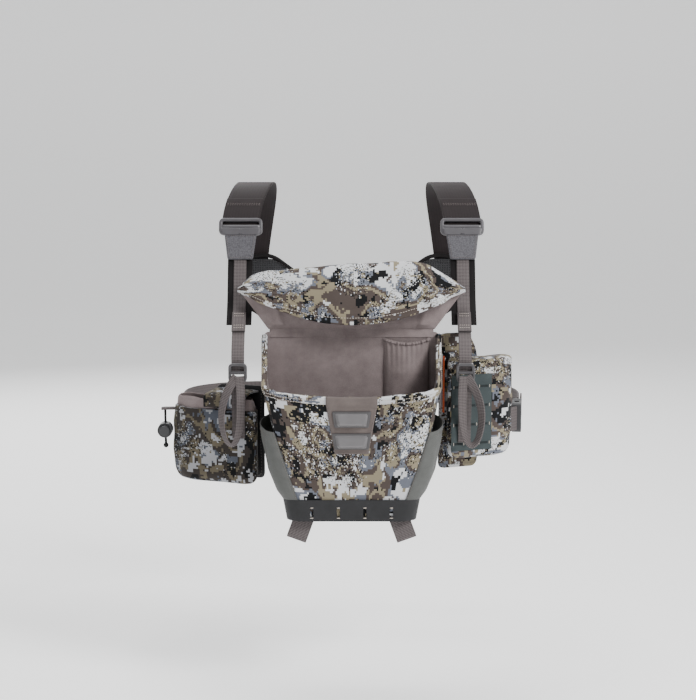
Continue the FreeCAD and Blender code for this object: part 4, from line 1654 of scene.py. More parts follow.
def set_uv(mesh: bpy.types.Mesh, uv: Array) -> None:
    """Write cloth coordinates over the ones that a mesh has.

    Args:
        mesh: the mesh.
        uv: one pair for each corner of each face, in the order of the faces.
    """
    layer = mesh.uv_layers.get("cloth") or mesh.uv_layers.new(name="cloth")
    layer.data.foreach_set("uv", uv.astype(np.float32).ravel())


def flat_uv(obj: Piece, across: int = 0, up: int = 2, shift: Pair = (0, 0)) -> None:
    """Give a piece cloth coordinates straight from two of its own axes.

    Args:
        obj: the object.
        across: axis that gives the print's width, 0 to 2.
        up: axis that gives the print's height, 0 to 2.
        shift: added to the coordinates.
    """
    points = corner_points(obj.data)
    set_uv(obj.data, np.stack([points[:, across] + shift[0], points[:, up] + shift[1]], axis=-1))


def spline_rows(control: Array, count: int) -> Array:
    """A quadratic B-spline through the first and last rows of control points, for all columns at
    once.

    Args:
        control: rows of control points.
        count: number of rows that come back.

    Returns:
        The points on the spline.
    """
    p = np.concatenate([2 * control[:1] - control[1:2], control, 2 * control[-1:] - control[-2:-1]])
    s = np.linspace(0.5, len(p) - 2.5, count)
    i = np.minimum(s.astype(int), len(p) - 3)
    t = (s - i).reshape((-1,) + (1,) * (control.ndim - 1))
    return p[i] * (1 - t) ** 2 / 2 + p[i + 1] * (0.5 + t * (1 - t)) + p[i + 2] * t**2 / 2


def rings(outline: Array, levels: Sequence[Pair], corner: float, count: int = 160) -> Array:
    """Rounded outlines at several levels, each moved inwards by its own distance.

    Args:
        outline: the plan's corners.
        levels: for each ring its distance inwards and its height; a distance above one is a share.
        corner: the plan's corner radius.
        count: points to a ring.

    Returns:
        Levels by points by (first plan axis, second plan axis, height).
    """
    ring = round_outline(np.asarray(outline, dtype=float), corner, count)
    middle = (ring.max(0) + ring.min(0)) / 2
    reach = np.linalg.norm(ring - middle, axis=1, keepdims=True)
    out = []
    for inwards, height in levels:
        scale = (
            np.clip(1 - inwards / reach, 0.02, None) if inwards < 1
            else np.full_like(reach, inwards - 1)
        )
        flat = middle + (ring - middle) * scale
        out.append(np.concatenate([flat, np.full((count, 1), height)], axis=1))
    return np.stack(out)


def box_uv(obj: Piece, turn: float = 0.0, shift: Pair = (0.0, 0.0)) -> None:
    """Cloth coordinates from whichever of three level faces each face of a piece looks most like.

    Args:
        obj: the piece.
        turn: degrees that its own frame is turned about Z.
        shift: added to the coordinates.
    """
    mesh = obj.data
    total = np.empty(len(mesh.polygons), dtype=np.int32)
    mesh.polygons.foreach_get("loop_total", total)
    normal = np.empty(len(mesh.polygons) * 3, dtype=np.float32)
    mesh.polygons.foreach_get("normal", normal)
    c, s = math.cos(math.radians(turn)), math.sin(math.radians(turn))
    back = np.array([[c, -s, 0], [s, c, 0], [0, 0, 1.0]])
    points = corner_points(mesh) @ back
    facing = np.repeat(np.abs(normal.reshape(-1, 3) @ back).argmax(axis=1), total)
    u = np.where(facing == 0, points[:, 1] + 0.21, points[:, 0])
    v = np.where(facing == 2, points[:, 1] + 0.37, points[:, 2])
    set_uv(mesh, np.stack([u + shift[0], v + shift[1]], axis=-1))


def smoothed(line: Array, reach: int = 4) -> Array:
    """A row of numbers, each the mean of itself and its neighbours on both sides."""
    width = 2 * reach + 1
    return np.convolve(np.pad(line, reach, mode="edge"), np.ones(width) / width, mode="valid")


@dataclass
class Lid:
    """The lid thrown open: padded panel, lining, cloth hinge and the apron that falls forward."""

    half_outline: Sequence[Pair] = ((0.083, 0.0972), (0.112, 0.136), (0.098, 0.149), (0.0, 0.156))
    lining_foot: float = 0.0978
    apron_half: float = 0.113
    # the fold's height in millimetres from the left tip to the right one, and the hem's from the
    # middle out
    fold_x: Sequence[float] = (-113, -104, -97, -84, -51, -6, 40, 70, 80, 88, 99, 106, 113)
    fold_z: Sequence[float] = (
        138.4, 146.5, 151.5, 155, 160.5, 163, 164, 163.5, 160.5, 155.5, 148.5, 143.5, 138.4
    )
    hem_x: Sequence[float] = (0, 25, 48, 72, 92, 105, 113)
    hem_z: Sequence[float] = (105, 106.5, 110.5, 118, 126.5, 133, 136.6)

    def outline(self, grow: float = 0.0) -> Array:
        """The panel's corners from the front.

        Args:
            grow: share by which it is larger.

        Returns:
            The outline as x and z.
        """
        mirror = [(-x, z) for x, z in self.half_outline[::-1] if x > 0]
        points = np.array([*self.half_outline, *mirror])
        middle = np.array([0.0, 0.125])
        return middle + (points - middle) * (1 + grow)

    def build(self) -> None:
        """Make every piece of the lid."""
        panel = pad_of("lid_pad", self.outline(-0.015), -0.0046, -0.0012, 0.007, 0.0014)
        puff(panel, 0.0022)
        flat_uv(panel, shift=(0.4, 0.1))
        dress(panel, CAMO, body="lid", slot="camo_fabric", replaces=("lid_panel",))
        self.lining()
        self.hinge_cloth()
        self.apron()

    def lining(self) -> None:
        """Brushed lining on the lid's inside with soft diagonal creases."""
        u, v = np.meshgrid(np.linspace(-1, 1, 150), np.linspace(0, 1, 60))
        z_low = self.lining_foot
        top = np.interp(np.abs(u) * 0.112, [0, 0.098, 0.112], [0.1545, 0.1478, 0.136])
        z = z_low + v * (top - z_low)
        half = np.interp(z, [0.0978, 0.136, 0.1478], [0.083, 0.1115, 0.0985])
        x = u * np.where(z < 0.136, half, np.minimum(np.maximum(half, 0.0), 0.1115))
        edge = np.clip(np.minimum(1 - np.abs(u), np.minimum(v, 1 - v)) * 10, 0, 1)
        crease = np.exp(-(((np.abs(x) - 0.072 - (z - 0.11) * 0.25) / 0.0045) ** 2)) * 0.0034
        field_ = np.stack([x, 0 * x, z], axis=-1)
        y = (
            -0.0062 - 0.0024 * edge - crease * edge
            - np.abs(ripple(field_, 51, 0.055, 0.0017)) * edge
        )
        front = np.stack([x, y, z], axis=-1)
        back = np.stack([x, 0 * x - 0.0034, z], axis=-1)
        obj = surface("lid_lining_cloth", np.concatenate([front, back[::-1]]), over=True, caps=True)
        flat_uv(obj)
        dress(obj, LINING, body="lid", slot="brushed_lining", replaces=("lid_lining",))

    def hinge_cloth(self) -> None:
        """Doubled cloth that joins the back wall's top to the lid."""
        z = np.linspace(0.089, 0.104, 18)
        bow = np.sin(np.linspace(0, math.pi, 18)) * 0.0008
        path = np.stack([0 * z, -0.0042 + bow, z], axis=1)
        obj = ribbon("lid_hinge_cloth", path, X_AXIS, 0.164, 0.0052, 0.002)
        flat_uv(obj)
        dress(obj, LINING, body=None)
        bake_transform(obj)

    def apron(self) -> None:
        """The apron: from the panel's top over a soft fold, and down in a crescent to a hemmed
        edge."""
        cols = 190
        u = np.linspace(-1, 1, cols)
        x = self.apron_half * (np.sin(u * math.pi / 2) * 0.35 + u * 0.65)
        a = np.abs(x) * 1000
        top = np.interp(x * 1000, self.fold_x, self.fold_z) * MM
        low = np.interp(a, self.hem_x, self.hem_z) * MM
        top, low = smoothed(top), smoothed(low)
        edge_z = np.interp(a, [0, 98, 112, 113], [155, 148, 136.5, 136]) * MM - 0.004
        drop = top - low
        share = drop / drop.max()
        control = np.stack([
            np.stack([x * 0.995, 0 * x - 0.0012, np.minimum(edge_z, top - 0.001)], axis=-1),
            np.stack([x, 0 * x - 0.0016, top - 0.0008], axis=-1),
            np.stack([x, -0.0052 - 0.004 * share, top + 0.0012 * share], axis=-1),
            np.stack([x, -0.0085 - 0.0085 * share, top - 0.10 * drop], axis=-1),
            np.stack([x, -0.0110 - 0.0150 * share, top - 0.40 * drop], axis=-1),
            np.stack([x, -0.0115 - 0.0190 * share, top - 0.72 * drop], axis=-1),
            np.stack([x, -0.0105 - 0.0205 * share, low], axis=-1),
        ])
        rows = 64
        outer = spline_rows(control, rows)
        v = np.linspace(0, 1, rows)[:, None]
        normal = -normals_of(outer)
        normal *= np.where(normal[..., 1:2].mean() > 0, -1, 1)
        fade = np.clip((v - 0.10) / 0.3, 0, 1) * np.clip(share * 3, 0.15, 1)[None]
        fold = (
            ripple(outer, 61, 0.085, 0.0030) + ripple(outer, 63, 0.040, 0.0012)
            + ripple(outer, 62, 0.018, 0.0004)
        )
        calm = np.clip((np.abs(outer[..., 0]) - 0.014) / 0.022, 0.0, 1.0)
        fade = fade * np.maximum(calm, np.clip((0.45 - v) * 5, 0, 1))
        fan = (
            0.0016 * np.sin((np.abs(outer[..., 0]) * 150 + outer[..., 2] * 210))
            * np.clip((np.abs(outer[..., 0]) - 0.06) / 0.03, 0, 1)
        )
        hem = 0.0006 * np.clip((v - 0.86) / 0.02, 0, 1)
        outer = outer + normal * ((fold + fan) * fade + hem)[..., None]
        inner = outer - normal * 0.0016
        grid = shell_grid(outer, inner)
        obj = surface("lid_apron", grid, over=True, caps=True, uv_origin=(2.3, 0.8))
        two_sided(obj, len(grid), rows + 3)
        dress(obj, CAMO, LINING, body=None, slot="camo_fabric", replaces=("lid_flap",))
        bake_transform(obj)
        row = int(rows * 0.93)
        line = outer[row] + normal[row] * 0.0001
        away = normal[row]
        thread = stitches("apron_hem_stitches", [(line[6:-6], away[6:-6])], 2.8, 2.0, 0.5)
        dress(thread, THREAD_PALE, body="apron")


@dataclass
class SidePouch:
    """A pouch on a wing: a soft box with rounded edges, open at its top, and its wing."""

    name: str
    plan: Sequence[Pair]
    low: float
    high: float
    side: int
    wing_reach: float
    wing_z: Pair
    print_shift: Pair
    swell: float = 0.003
    wall: float = 0.0018
    corner: float = 0.011
    wing_turn: float = 24.0
    wing_root: Pair = (0.088, -0.004)
    tongue_long: float = 0.034
    tongue_half: float = 0.026
    stitch_top: float = 1.0

    def box(self) -> Piece:
        """The pouch's body with its lining.

        Returns:
            The piece.
        """
        edge = 0.009
        turn = np.linspace(0, math.pi / 2, 6)
        levels: List[Pair] = [(s, self.low + 0.0004) for s in (1.05, 1.3, 1.55, 1.75)]
        levels += [(edge * (1 - math.sin(a)), self.low + edge * (1 - math.cos(a))) for a in turn]
        count = 22
        sides = np.linspace(self.low + edge, self.high - 0.001, count)[1:]
        levels += [(0.0, z) for z in sides]
        outer = rings(self.plan, levels, self.corner)
        rows = len(levels)
        tall = np.clip((outer[..., 2] - self.low - 0.006) / (self.high - self.low), 0, 1)
        middle = outer[..., :2].mean(axis=1, keepdims=True)
        away = unit(outer[..., :2] - middle)
        facing = self.front_share(away)
        puffed = self.swell * np.sin(math.pi * np.clip(tall, 0, 1)) ** 0.7 * (1 - facing)
        folds = ripple(outer, 71 + self.side, 0.045, 0.0010) + ripple(outer, 75, 0.018, 0.0004)
        folds *= np.clip(tall * 6, 0, 1) * np.clip((1 - tall) * 8, 0.3, 1) * (1 - 0.8 * facing)
        inboard = np.clip(-away[..., 0] * self.side, 0, 1)
        outer[..., :2] += away * (puffed * (1 - inboard) + folds * (1 - 0.7 * inboard))[..., None]
        inner = rings(
            self.plan,
            [
                (i + self.wall if i < 1 else i * 0.97 + 0.03, max(z, self.low + self.wall))
                for i, z in levels
            ],
            self.corner
        )
        grid = shell_grid(outer, inner)
        obj = surface(self.name + "_bag", grid, around=True, caps=True)
        index = np.zeros(len(obj.data.polygons), dtype=np.int32)
        index[(rows + 3) * grid.shape[1] :] = 1
        obj.data.polygons.foreach_set("material_index", index)
        box_uv(obj, self.side * self.wing_turn, self.print_shift)
        return obj

    def front_share(self, away: Array) -> Array:
        """How much of each point's direction is the pouch's flat front face, 0 to 1."""
        return np.zeros(away.shape[:-1])

    def at_wing(self, points: Array) -> Array:
        """From along the wing, off its face and up to the pack's frame.

        Args:
            points: places along the wing, off its face and up.

        Returns:
            The points on the wing.
        """
        c, s = math.cos(math.radians(self.wing_turn)), math.sin(math.radians(self.wing_turn))
        a, d, z = points[..., 0], points[..., 1], points[..., 2]
        x = self.wing_root[0] + a * c - d * s
        y = self.wing_root[1] + a * s + d * c
        return np.stack([self.side * x, y, z], axis=-1)

    def wing(self, node: str) -> None:
        """Laminate wing with a bound edge and its webbing out to the side buckle.

        Args:
            node: node of the CAD that it replaces.
        """
        low, high = self.wing_z
        reach = self.wing_reach
        end, half = reach - self.tongue_long, self.tongue_half
        outline = np.array([
            (0.0, low), (end, low), (end + 0.004, -half), (reach, -half), (reach, half),
            (end + 0.004, half), (end, high - 0.017), (end - 0.009, high), (0.0, high)
        ])
        levels = [
            (1.04, 0.0), (1.3, 0.0), (1.6, 0.0), (1.85, 0.0), (0.0012, 0.0), (0.0004, 0.0004),
            (0.0, 0.0012), (0.0, 0.0018), (0.0004, 0.0026), (0.0012, 0.0030), (1.85, 0.003),
            (1.6, 0.003), (1.3, 0.003), (1.04, 0.003)
        ]
        grid = rings(outline, levels, 0.006, 220)[..., [0, 2, 1]]
        grid = self.at_wing(grid)
        obj = surface(self.name + "_wing", grid, around=True, caps=True)
        box_uv(obj, self.side * self.wing_turn, (0.5, 0.2))
        tail = self.at_wing(
            np.array([
                (reach - 0.014, 0.0012, 0.0), (reach - 0.004, 0.0010, 0.0),
                (reach + 0.001, 0.0012, 0.0)
            ])
        )
        tail = np.vstack([
            tail, [[self.side * 0.170, 0.0440, 0.0], [self.side * 0.1712, 0.0475, 0.0]]
        ])
        band = ribbon(self.name + "_wing_webbing", curve_through(tail, 40), Z_AXIS, 0.025, 0.0016)
        dress(obj, CAMO if self.side > 0 else LAMINATE, slot="laminate", replaces=(node,))
        dress(band, WEBBING)
        line = rings(outline, [(0.0035, -0.0002)], 0.006, 220)[0][:, [0, 2, 1]]
        line = np.vstack([line, line[:1]])
        hidden = line[:, 2] > self.stitch_top
        line = np.roll(line, -int(np.argmax(hidden)), axis=0)[int(hidden.sum()) :]
        line = self.at_wing(line)
        away = self.at_wing(np.array([[0, -1.0, 0], [0, 0, 0]]))
        away = np.broadcast_to(away[0] - away[1], line.shape)
        dress(stitches(self.name + "_wing_stitches", [(line, away)], 3.0, 2.1, 0.45), THREAD)


@dataclass
class RightPouch(SidePouch):
    """The right pouch, with its flap and laser-cut laminate front."""

    name: str = "pouch_right"
    plan: Sequence[Pair] = (
        (0.0955, -0.030), (0.152, -0.007), (0.162, 0.016), (0.154, 0.0244), (0.0955, -0.0015)
    )
    low: float = -0.030
    high: float = 0.064
    side: int = 1
    wing_reach: float = 0.076
    wing_z: Pair = (-0.044, 0.093)
    print_shift: Pair = (0.33, 0.21)
    slot_top: float = 0.042
    slot_drop: float = 0.019
    slot_pitch: float = 0.013

    def front_share(self, away: Array) -> Array:
        """The flat front looks along the wing's normal."""
        c, s = math.cos(math.radians(22.2)), math.sin(math.radians(22.2))
        return np.clip((away[..., 0] * s - away[..., 1] * c - 0.35) * 4, 0, 1)

    def build(self) -> None:
        """Make the pouch, its flap and its bar stitches."""
        dress(self.box(), CAMO, LINING, slot="camo_fabric", replaces=("pouch_right_shell",))
        self.wing("wing_right")
        plan = np.array(self.plan)
        middle = (plan.max(0) + plan.min(0)) / 2
        cover = middle + (plan - middle) * np.array([1.03, 1.05]) + np.array([0.0014, 0.0])
        top = self.high + 0.0060
        levels = [
            (1.04, top), (1.35, top), (1.65, top), (1.86, top - 0.0002), (0.0022, top - 0.0006),
            (0.0008, top - 0.0016), (0.0, top - 0.0034), (0.0, top - 0.0072),
            (0.0005, top - 0.0080), (0.0012, top - 0.0078), (0.0014, top - 0.0060),
            (0.0030, top - 0.0022), (1.86, top - 0.0018), (1.65, top - 0.0016),
            (1.35, top - 0.0016), (1.04, top - 0.0016)
        ]
        grid = rings(cover, levels, self.corner, 180)
        grid = self.tilt(grid, 0.06)
        grid[..., 2] += ripple(grid, 81, 0.04, 0.0008)
        obj = surface("pouch_right_flap_cloth", grid, around=True, caps=True)
        box_uv(obj, self.wing_turn, (0.7, 0.9))
        dress(obj, CAMO, body="right_flap", slot="camo_fabric", replaces=("pouch_right_flap",))
        self.backing()
        self.bars()

    def backing(self) -> None:
        """A layer of the same laminate close behind the slotted one, so that its slots stay
        slits."""
        (x0, y0), (x1, y1) = self.plan[0], self.plan[1]
        out = unit(np.array([y1 - y0, x0 - x1]))
        x, z = np.meshgrid(np.linspace(0.1004, 0.1388, 30), np.linspace(-0.0208, 0.0528, 40))
        y = y0 + (x - x0) / (x1 - x0) * (y1 - y0)
        layers = [np.stack([x + out[0] * d, y + out[1] * d, z], axis=-1) for d in (0.00075, 0.0002)]
        obj = surface(
            "laminate_backing", np.concatenate([layers[0], layers[1][::-1]]), over=True, caps=True
        )
        # coloured darker than the front laminate: painted shade behind the slits
        dress(obj, LAMINATE_BEHIND_PAINTED_SHADE)

    def tilt(self, grid: Array, slope: float) -> Array:
        """Lower a flap towards its front.

        Args:
            grid: rows and columns of points.
            slope: fall for each metre forwards.

        Returns:
            The leaning surface.
        """
        c, s = math.cos(math.radians(self.wing_turn)), math.sin(math.radians(self.wing_turn))
        root_x, root_y = self.wing_root
        ahead = (grid[..., 0] * self.side - root_x) * s - (grid[..., 1] - root_y) * c
        grid = grid.copy()
        grid[..., 2] -= slope * ahead
        return grid

    def bars(self) -> None:
        """Pale bar stitches at the ends of the laminate's slots."""
        lines = []
        (x0, y0), (x1, y1) = self.plan[0], self.plan[1]
        run = unit(np.array([x1 - x0, y1 - y0]))
        out = np.array([run[1], -run[0], 0.0])
        for row in range(4):
            z = self.slot_top - self.slot_drop * row
            for i in range(3):
                for end in (-0.0052, 0.0052):
                    x = 0.106 + self.slot_pitch * i + end
                    y = y0 + (x - x0) / (x1 - x0) * (y1 - y0)
                    at = np.array([x, y, 0.0]) + out * 0.0015
                    lines.append((
                        np.array([at + [0, 0, z - 0.0017], at + [0, 0, z + 0.0017]]),
                        np.array([out, out])
                    ))
        dress(stitches("laminate_bar_stitches", lines, 3.2, 3.2, 0.8, 0.05), THREAD_PALE)


@dataclass
class LeftPouch(SidePouch):
    """The left pouch, with its lined collar and short flap."""

    name: str = "pouch_left"
    plan: Sequence[Pair] = (
        (-0.094, -0.033), (-0.166, -0.004), (-0.181, 0.022), (-0.171, 0.0324), (-0.094, -0.002)
    )
    low: float = -0.056
    high: float = 0.018
    side: int = -1
    wing_reach: float = 0.094
    wing_z: Pair = (-0.054, 0.040)
    print_shift: Pair = (0.61, 0.43)
    stitch_top: float = 0.034
    flap_line: Sequence[Pair] = (
        (-0.0018, 0.0358), (-0.010, 0.0362), (-0.024, 0.0352), (-0.0325, 0.0335), (-0.0352, 0.0300),
        (-0.0350, 0.0225)
    )

    def build(self) -> None:
        """Make the pouch, its collar and its flap."""
        # the darker copy of the print is painted shade on the left pouch
        dress(self.box(), CAMO_PAINTED_SHADE, LINING, slot="camo_fabric", replaces=("pouch_left_shell",))
        self.wing("wing_left")
        levels = [
            (0.0018, self.high - 0.008), (0.0018, self.high + 0.002), (0.0030, self.high + 0.008),
            (0.0045, self.high + 0.0105), (0.0054, self.high + 0.0110),
            (0.0062, self.high + 0.0104), (0.0048, self.high + 0.008), (0.0034, self.high + 0.002),
            (0.0032, self.high - 0.008)
        ]
        grid = rings(self.plan, levels, self.corner, 200)
        grid[..., 2] += ripple(grid, 91, 0.02, 0.0011) * np.linspace(0, 1, len(levels))[:, None]
        grid[..., :2] += (
            ripple(grid, 92, 0.03, 0.0010)[..., None] * np.clip(grid[..., 2:] - self.high, 0, 0.01)
            * 100
        )
        obj = surface("pouch_left_collar_cloth", grid, around=True, over=True)
        dress(obj, LINING, slot="brushed_lining", replaces=("pouch_left_collar",))
        self.flap()

    def flap(self) -> None:
        """A short padded flap over the collar's inner end, with a hanging lip."""
        a = np.tile(np.linspace(0.005, 0.050, 60), (40, 1))
        line = spline_rows(np.array(self.flap_line), 40)
        depth = np.broadcast_to(line[:, None, 0], a.shape)
        z = (
            np.broadcast_to(line[:, None, 1], a.shape)
            + ripple(np.stack([a, depth, 0 * a], -1), 93, 0.03, 0.0007)
        )
        outer = self.at_wing(np.stack([a, depth, z], axis=-1))
        inner = self.at_wing(np.stack([a, depth * 0.955, z - 0.0016], axis=-1))
        grid = shell_grid(outer, inner)
        obj = surface("pouch_left_flap_cloth", grid, over=True, caps=True, uv_origin=(0.2, 0.7))
        # the darker copy of the print is painted shade on the left flap
        dress(obj, CAMO_PAINTED_SHADE, body="left_flap", slot="camo_fabric", replaces=("pouch_left_flap",))


@dataclass
class CordLock:
    """Shock cord with a barrel lock on it, hanging from a webbing tab."""

    route: Sequence[Tuple[float, float, float]] = (
        (-0.1895, 0.0220, 0.0120), (-0.1895, 0.0220, 0.0040), (-0.1892, 0.0216, -0.0050),
        (-0.1894, 0.0214, -0.0140), (-0.1891, 0.0217, -0.0220),
    )
    diameter: float = 0.0025
    length: float = 0.034

    def build(self) -> None:
        """Make the cord as a curve, and the tab that it leaves."""
        curve = bpy.data.curves.new("shock_cord_curve", "CURVE")
        curve.dimensions = "3D"
        curve.bevel_depth = self.diameter / 2
        curve.bevel_resolution = 4
        curve.resolution_u = 12
        spline = curve.splines.new("NURBS")
        spline.points.add(len(self.route) - 1)
        spline.points.foreach_set("co", np.array([(*p, 1.0) for p in self.route]).ravel())
        spline.order_u = 3
        spline.use_endpoint_u = True
        curve.materials.append(CORD.material())
        cord = bpy.data.objects.new("shock_cord_line", curve)
        bpy.context.scene.collection.objects.link(cord)
        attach(cord, "root")
        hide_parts("shock_cord")
        path = np.array([
            (-0.1780, 0.0220, 0.0138), (-0.1840, 0.0220, 0.0138), (-0.1900, 0.0220, 0.0137),
            (-0.1932, 0.0220, 0.0134)
        ])
        tab = ribbon("cord_tab", resample(path, 20), Y_AXIS, 0.008, 0.0026)
        dress(tab, WEBBING, slot="webbing", replaces=("cord_eyelet",))


# centre lines in millimetres: y and z of the shoulder strap and of the riser, x and y of the side
# strap
SHOULDER = [
    (41.6, 206.4), (58, 222), (88, 235), (126, 240), (172, 232), (208, 208), (231.8, 178),
    (231.8, 116)
]
RISER = [(-38.6, 57), (-38.0, 82), (2.5, 121), (11, 146), (28, 186)]
SIDE_POINTS = [(174, 192), (146, 220), (112, 231.9), (70, 232.3)]
# the pull loop's own line in metres: sideways from the strap, depth and height
LOOP = [
    (-0.002, -0.0452, 0.0555), (-0.0035, -0.0462, 0.036), (-0.003, -0.0470, 0.012),
    (0.0, -0.0478, -0.006), (0.0055, -0.0480, -0.0145), (0.0125, -0.0470, -0.0085),
    (0.0165, -0.0462, 0.010), (0.0150, -0.0458, 0.028), (0.0085, -0.0455, 0.044),
    (0.001, -0.0448, 0.0555)
]


@dataclass
class Harness:
    """One side's straps: shoulder strap, slide buckle, patch, elastic, riser, ladder lock, loop,
    side strap."""

    side: int
    x: float = 0.112
    lean: float = 0.013
    elastic_from: float = 0.37
    strap_width: float = 0.038
    riser_width: float = 0.0127
    side_turn: float = 84.0

    def label(self) -> str:
        """The side's name."""
        return "right" if self.side > 0 else "left"

    def upright(self, route: Sequence[Pair], count: int, shift: float = 0.0) -> Array:
        """A smooth path in the strap's own plane from (y, z) points in millimetres.

        Args:
            route: line as y and z in millimetres.
            count: number of points that come back.
            shift: distance off the line, square to it.

        Returns:
            The line in metres.
        """
        flat = np.array([(0.0, y * MM, z * MM) for y, z in route])
        path = resample(spline_rows(flat, 400), count)
        run = unit(np.gradient(path, axis=0))
        path = path + np.stack([0 * run[:, 0], -run[:, 2], run[:, 1]], axis=1) * shift
        path[:, 0] = self.side * self.x
        return path

    def build(self) -> None:
        """Make every piece of the side."""
        name = self.label()
        across = X_AXIS
        strap = self.upright([(35.3, 198.2)] + SHOULDER, 156)
        t = np.linspace(0, 1, len(strap))
        strap[:, 0] -= (
            self.side * self.lean * np.sin(math.pi * np.clip((t - 0.03) * 1.15, 0, 1)) ** 1.2
        )
        obj = ribbon(f"shoulder_strap_{name}_webbing", strap, across, self.strap_width, 0.0024)
        dress(obj, STRAP, slot="strap_webbing", replaces=(f"shoulder_strap_{name}",))
        fold = strap[4:20] + np.array([0, -0.0012, 0.0018])
        doubled = ribbon(
            f"shoulder_fold_{name}", resample(fold, 40), across, self.strap_width * 0.985, 0.0018
        )
        dress(doubled, STRAP)
        self.fold_stitches(resample(fold, 40))
        riser = self.upright(RISER, 120)
        obj = ribbon(f"riser_{name}", riser, across, self.riser_width, 0.0014)
        dress(obj, WEBBING, slot="webbing", replaces=("risers",))
        start = int(120 * self.elastic_from)
        band = self.upright(RISER, 120, -0.0015)[start:]
        obj = ribbon(f"elastic_{name}", band, across, 0.025, 0.0013)
        dress(obj, ELASTIC, slot="elastic", replaces=("elastics",))
        self.slide_buckle()
        self.ladder_lock()
        self.pull_loop()
        self.side_strap()

    def fold_stitches(self, path: Array) -> None:
        """Two rows across the doubled end of the shoulder strap.

        Args:
            path: centre line of the doubled end.
        """
        lines = []
        for k in (24, 27):
            at, ahead = path[k], unit(path[k + 1] - path[k])
            out = np.array([0.0, -ahead[2], ahead[1]])
            x = np.linspace(-0.017, 0.017, 24)
            row = at + np.stack([x, 0 * x, 0 * x], axis=1) + out * 0.0009
            lines.append((row, np.broadcast_to(out, row.shape)))
        dress(stitches(f"shoulder_fold_stitches_{self.label()}", lines, 2.4, 1.8, 0.45), THREAD)

    def on_slope(self, points: Array) -> Array:
        """From a frame lying along +Z at the riser's top to the pack's frame.

        Args:
            points: places in the slope's own frame.

        Returns:
            The points on the slope.
        """
        (ay, az), (by, bz) = np.array(RISER[-2]) * MM, np.array(RISER[-1]) * MM
        length = math.hypot(by - ay, bz - az)
        uy, uz = (by - ay) / length, (bz - az) / length
        x, y, z = points[..., 0], points[..., 1], points[..., 2]
        return np.stack(
            [self.side * self.x + x, by + z * uy + y * uz, bz + z * uz - y * uy], axis=-1
        )

    def frame_of(
        self, name: str, width: float, height: float, bar: float, depth: float, low: float,
        bars: Sequence[float], place: Callable[[Array], Array], y: float
    ) -> Piece:
        """A moulded frame: a closed rounded bar with crossbars.

        Args:
            name: the piece's name.
            width: outside width.
            height: outside height.
            bar: the frame's bar width.
            depth: its thickness.
            low: height of its foot.
            bars: heights of the crossbars' middles.
            place: from its own frame to the pack's.
            y: its middle plane.

        Returns:
            The joined object.
        """
        w, h = (width - bar) / 2, height - bar
        corners = np.array([(-w, 0.0), (w, 0.0), (w, h), (-w, h)]) + np.array([0, low + bar / 2])
        ring = round_outline(corners, 0.0035, 96)
        path = np.stack([ring[:, 0], np.full(96, y), ring[:, 1]], axis=-1)
        run = unit(np.roll(path, -1, 0) - np.roll(path, 1, 0))
        across = np.stack([-run[:, 2], 0 * run[:, 1], run[:, 0]], axis=-1)
        pieces = [
            ribbon(
                name, place(path), unit(place(path + across) - place(path)), bar, depth, bar * 0.3,
                closed=True
            )
        ]
        for k, z in enumerate(bars):
            line = np.stack(
                [np.linspace(-w, w, 12), np.full(12, y - 0.0002), np.full(12, z)], axis=-1
            )
            up = place(line + Z_AXIS) - place(line)
            pieces.append(
                ribbon(f"{name}_bar{k}", place(line), up, bar * 1.05, depth * 0.9, bar * 0.3)
            )
        return joined(name, pieces)

    def slide_buckle(self) -> None:
        """Slide buckle, the stitched patch under it, and the patch's thread."""
        name = self.label()
        obj = self.frame_of(
            f"slide_buckle_{name}", 0.044, 0.018, 0.0036, 0.0048, 0.0035, (0.0122,), self.on_slope,
            -0.0003
        )
        face = pad_plate(
            f"slide_plate_{name}",
            np.array([(-0.0190, 0.0030), (0.0190, 0.0030), (0.0205, 0.0105), (-0.0205, 0.0105)]),
            -0.0034, -0.0012, 0.002, 0.0007, self.on_slope
        )
        obj = joined(obj.name, [obj, face])
        dress(obj, ACETAL, slot="acetal", replaces=("slide_buckles",))
        outline = np.array([(-0.0128, -0.023), (0.0128, -0.023), (0.0163, 0.004), (-0.0163, 0.004)])
        patch = pad_plate(f"patch_{name}", outline, -0.0027, -0.0007, 0.0022, 0.0009, self.on_slope)
        dress(patch, VINYL, slot="patch_vinyl", replaces=(f"buckle_patch_{name}",))
        flat_uv(patch)
        inset = rings(outline, [(0.0021, -0.0029)], 0.003, 100)[0][:, [0, 2, 1]]
        line = self.on_slope(np.vstack([inset, inset[:1]]))
        away = self.on_slope(np.array([[0, -1.0, 0], [0, 0, 0]]))
        away = np.broadcast_to(away[0] - away[1], line.shape)
        dress(stitches(f"patch_stitches_{name}", [(line, away)], 2.2, 1.6, 0.4, 0.05), THREAD)

    def beside(self, points: Array) -> Array:
        """From the pack's middle out to the strap's own line."""
        return points + np.array([self.side * self.x, 0.0, 0.0])

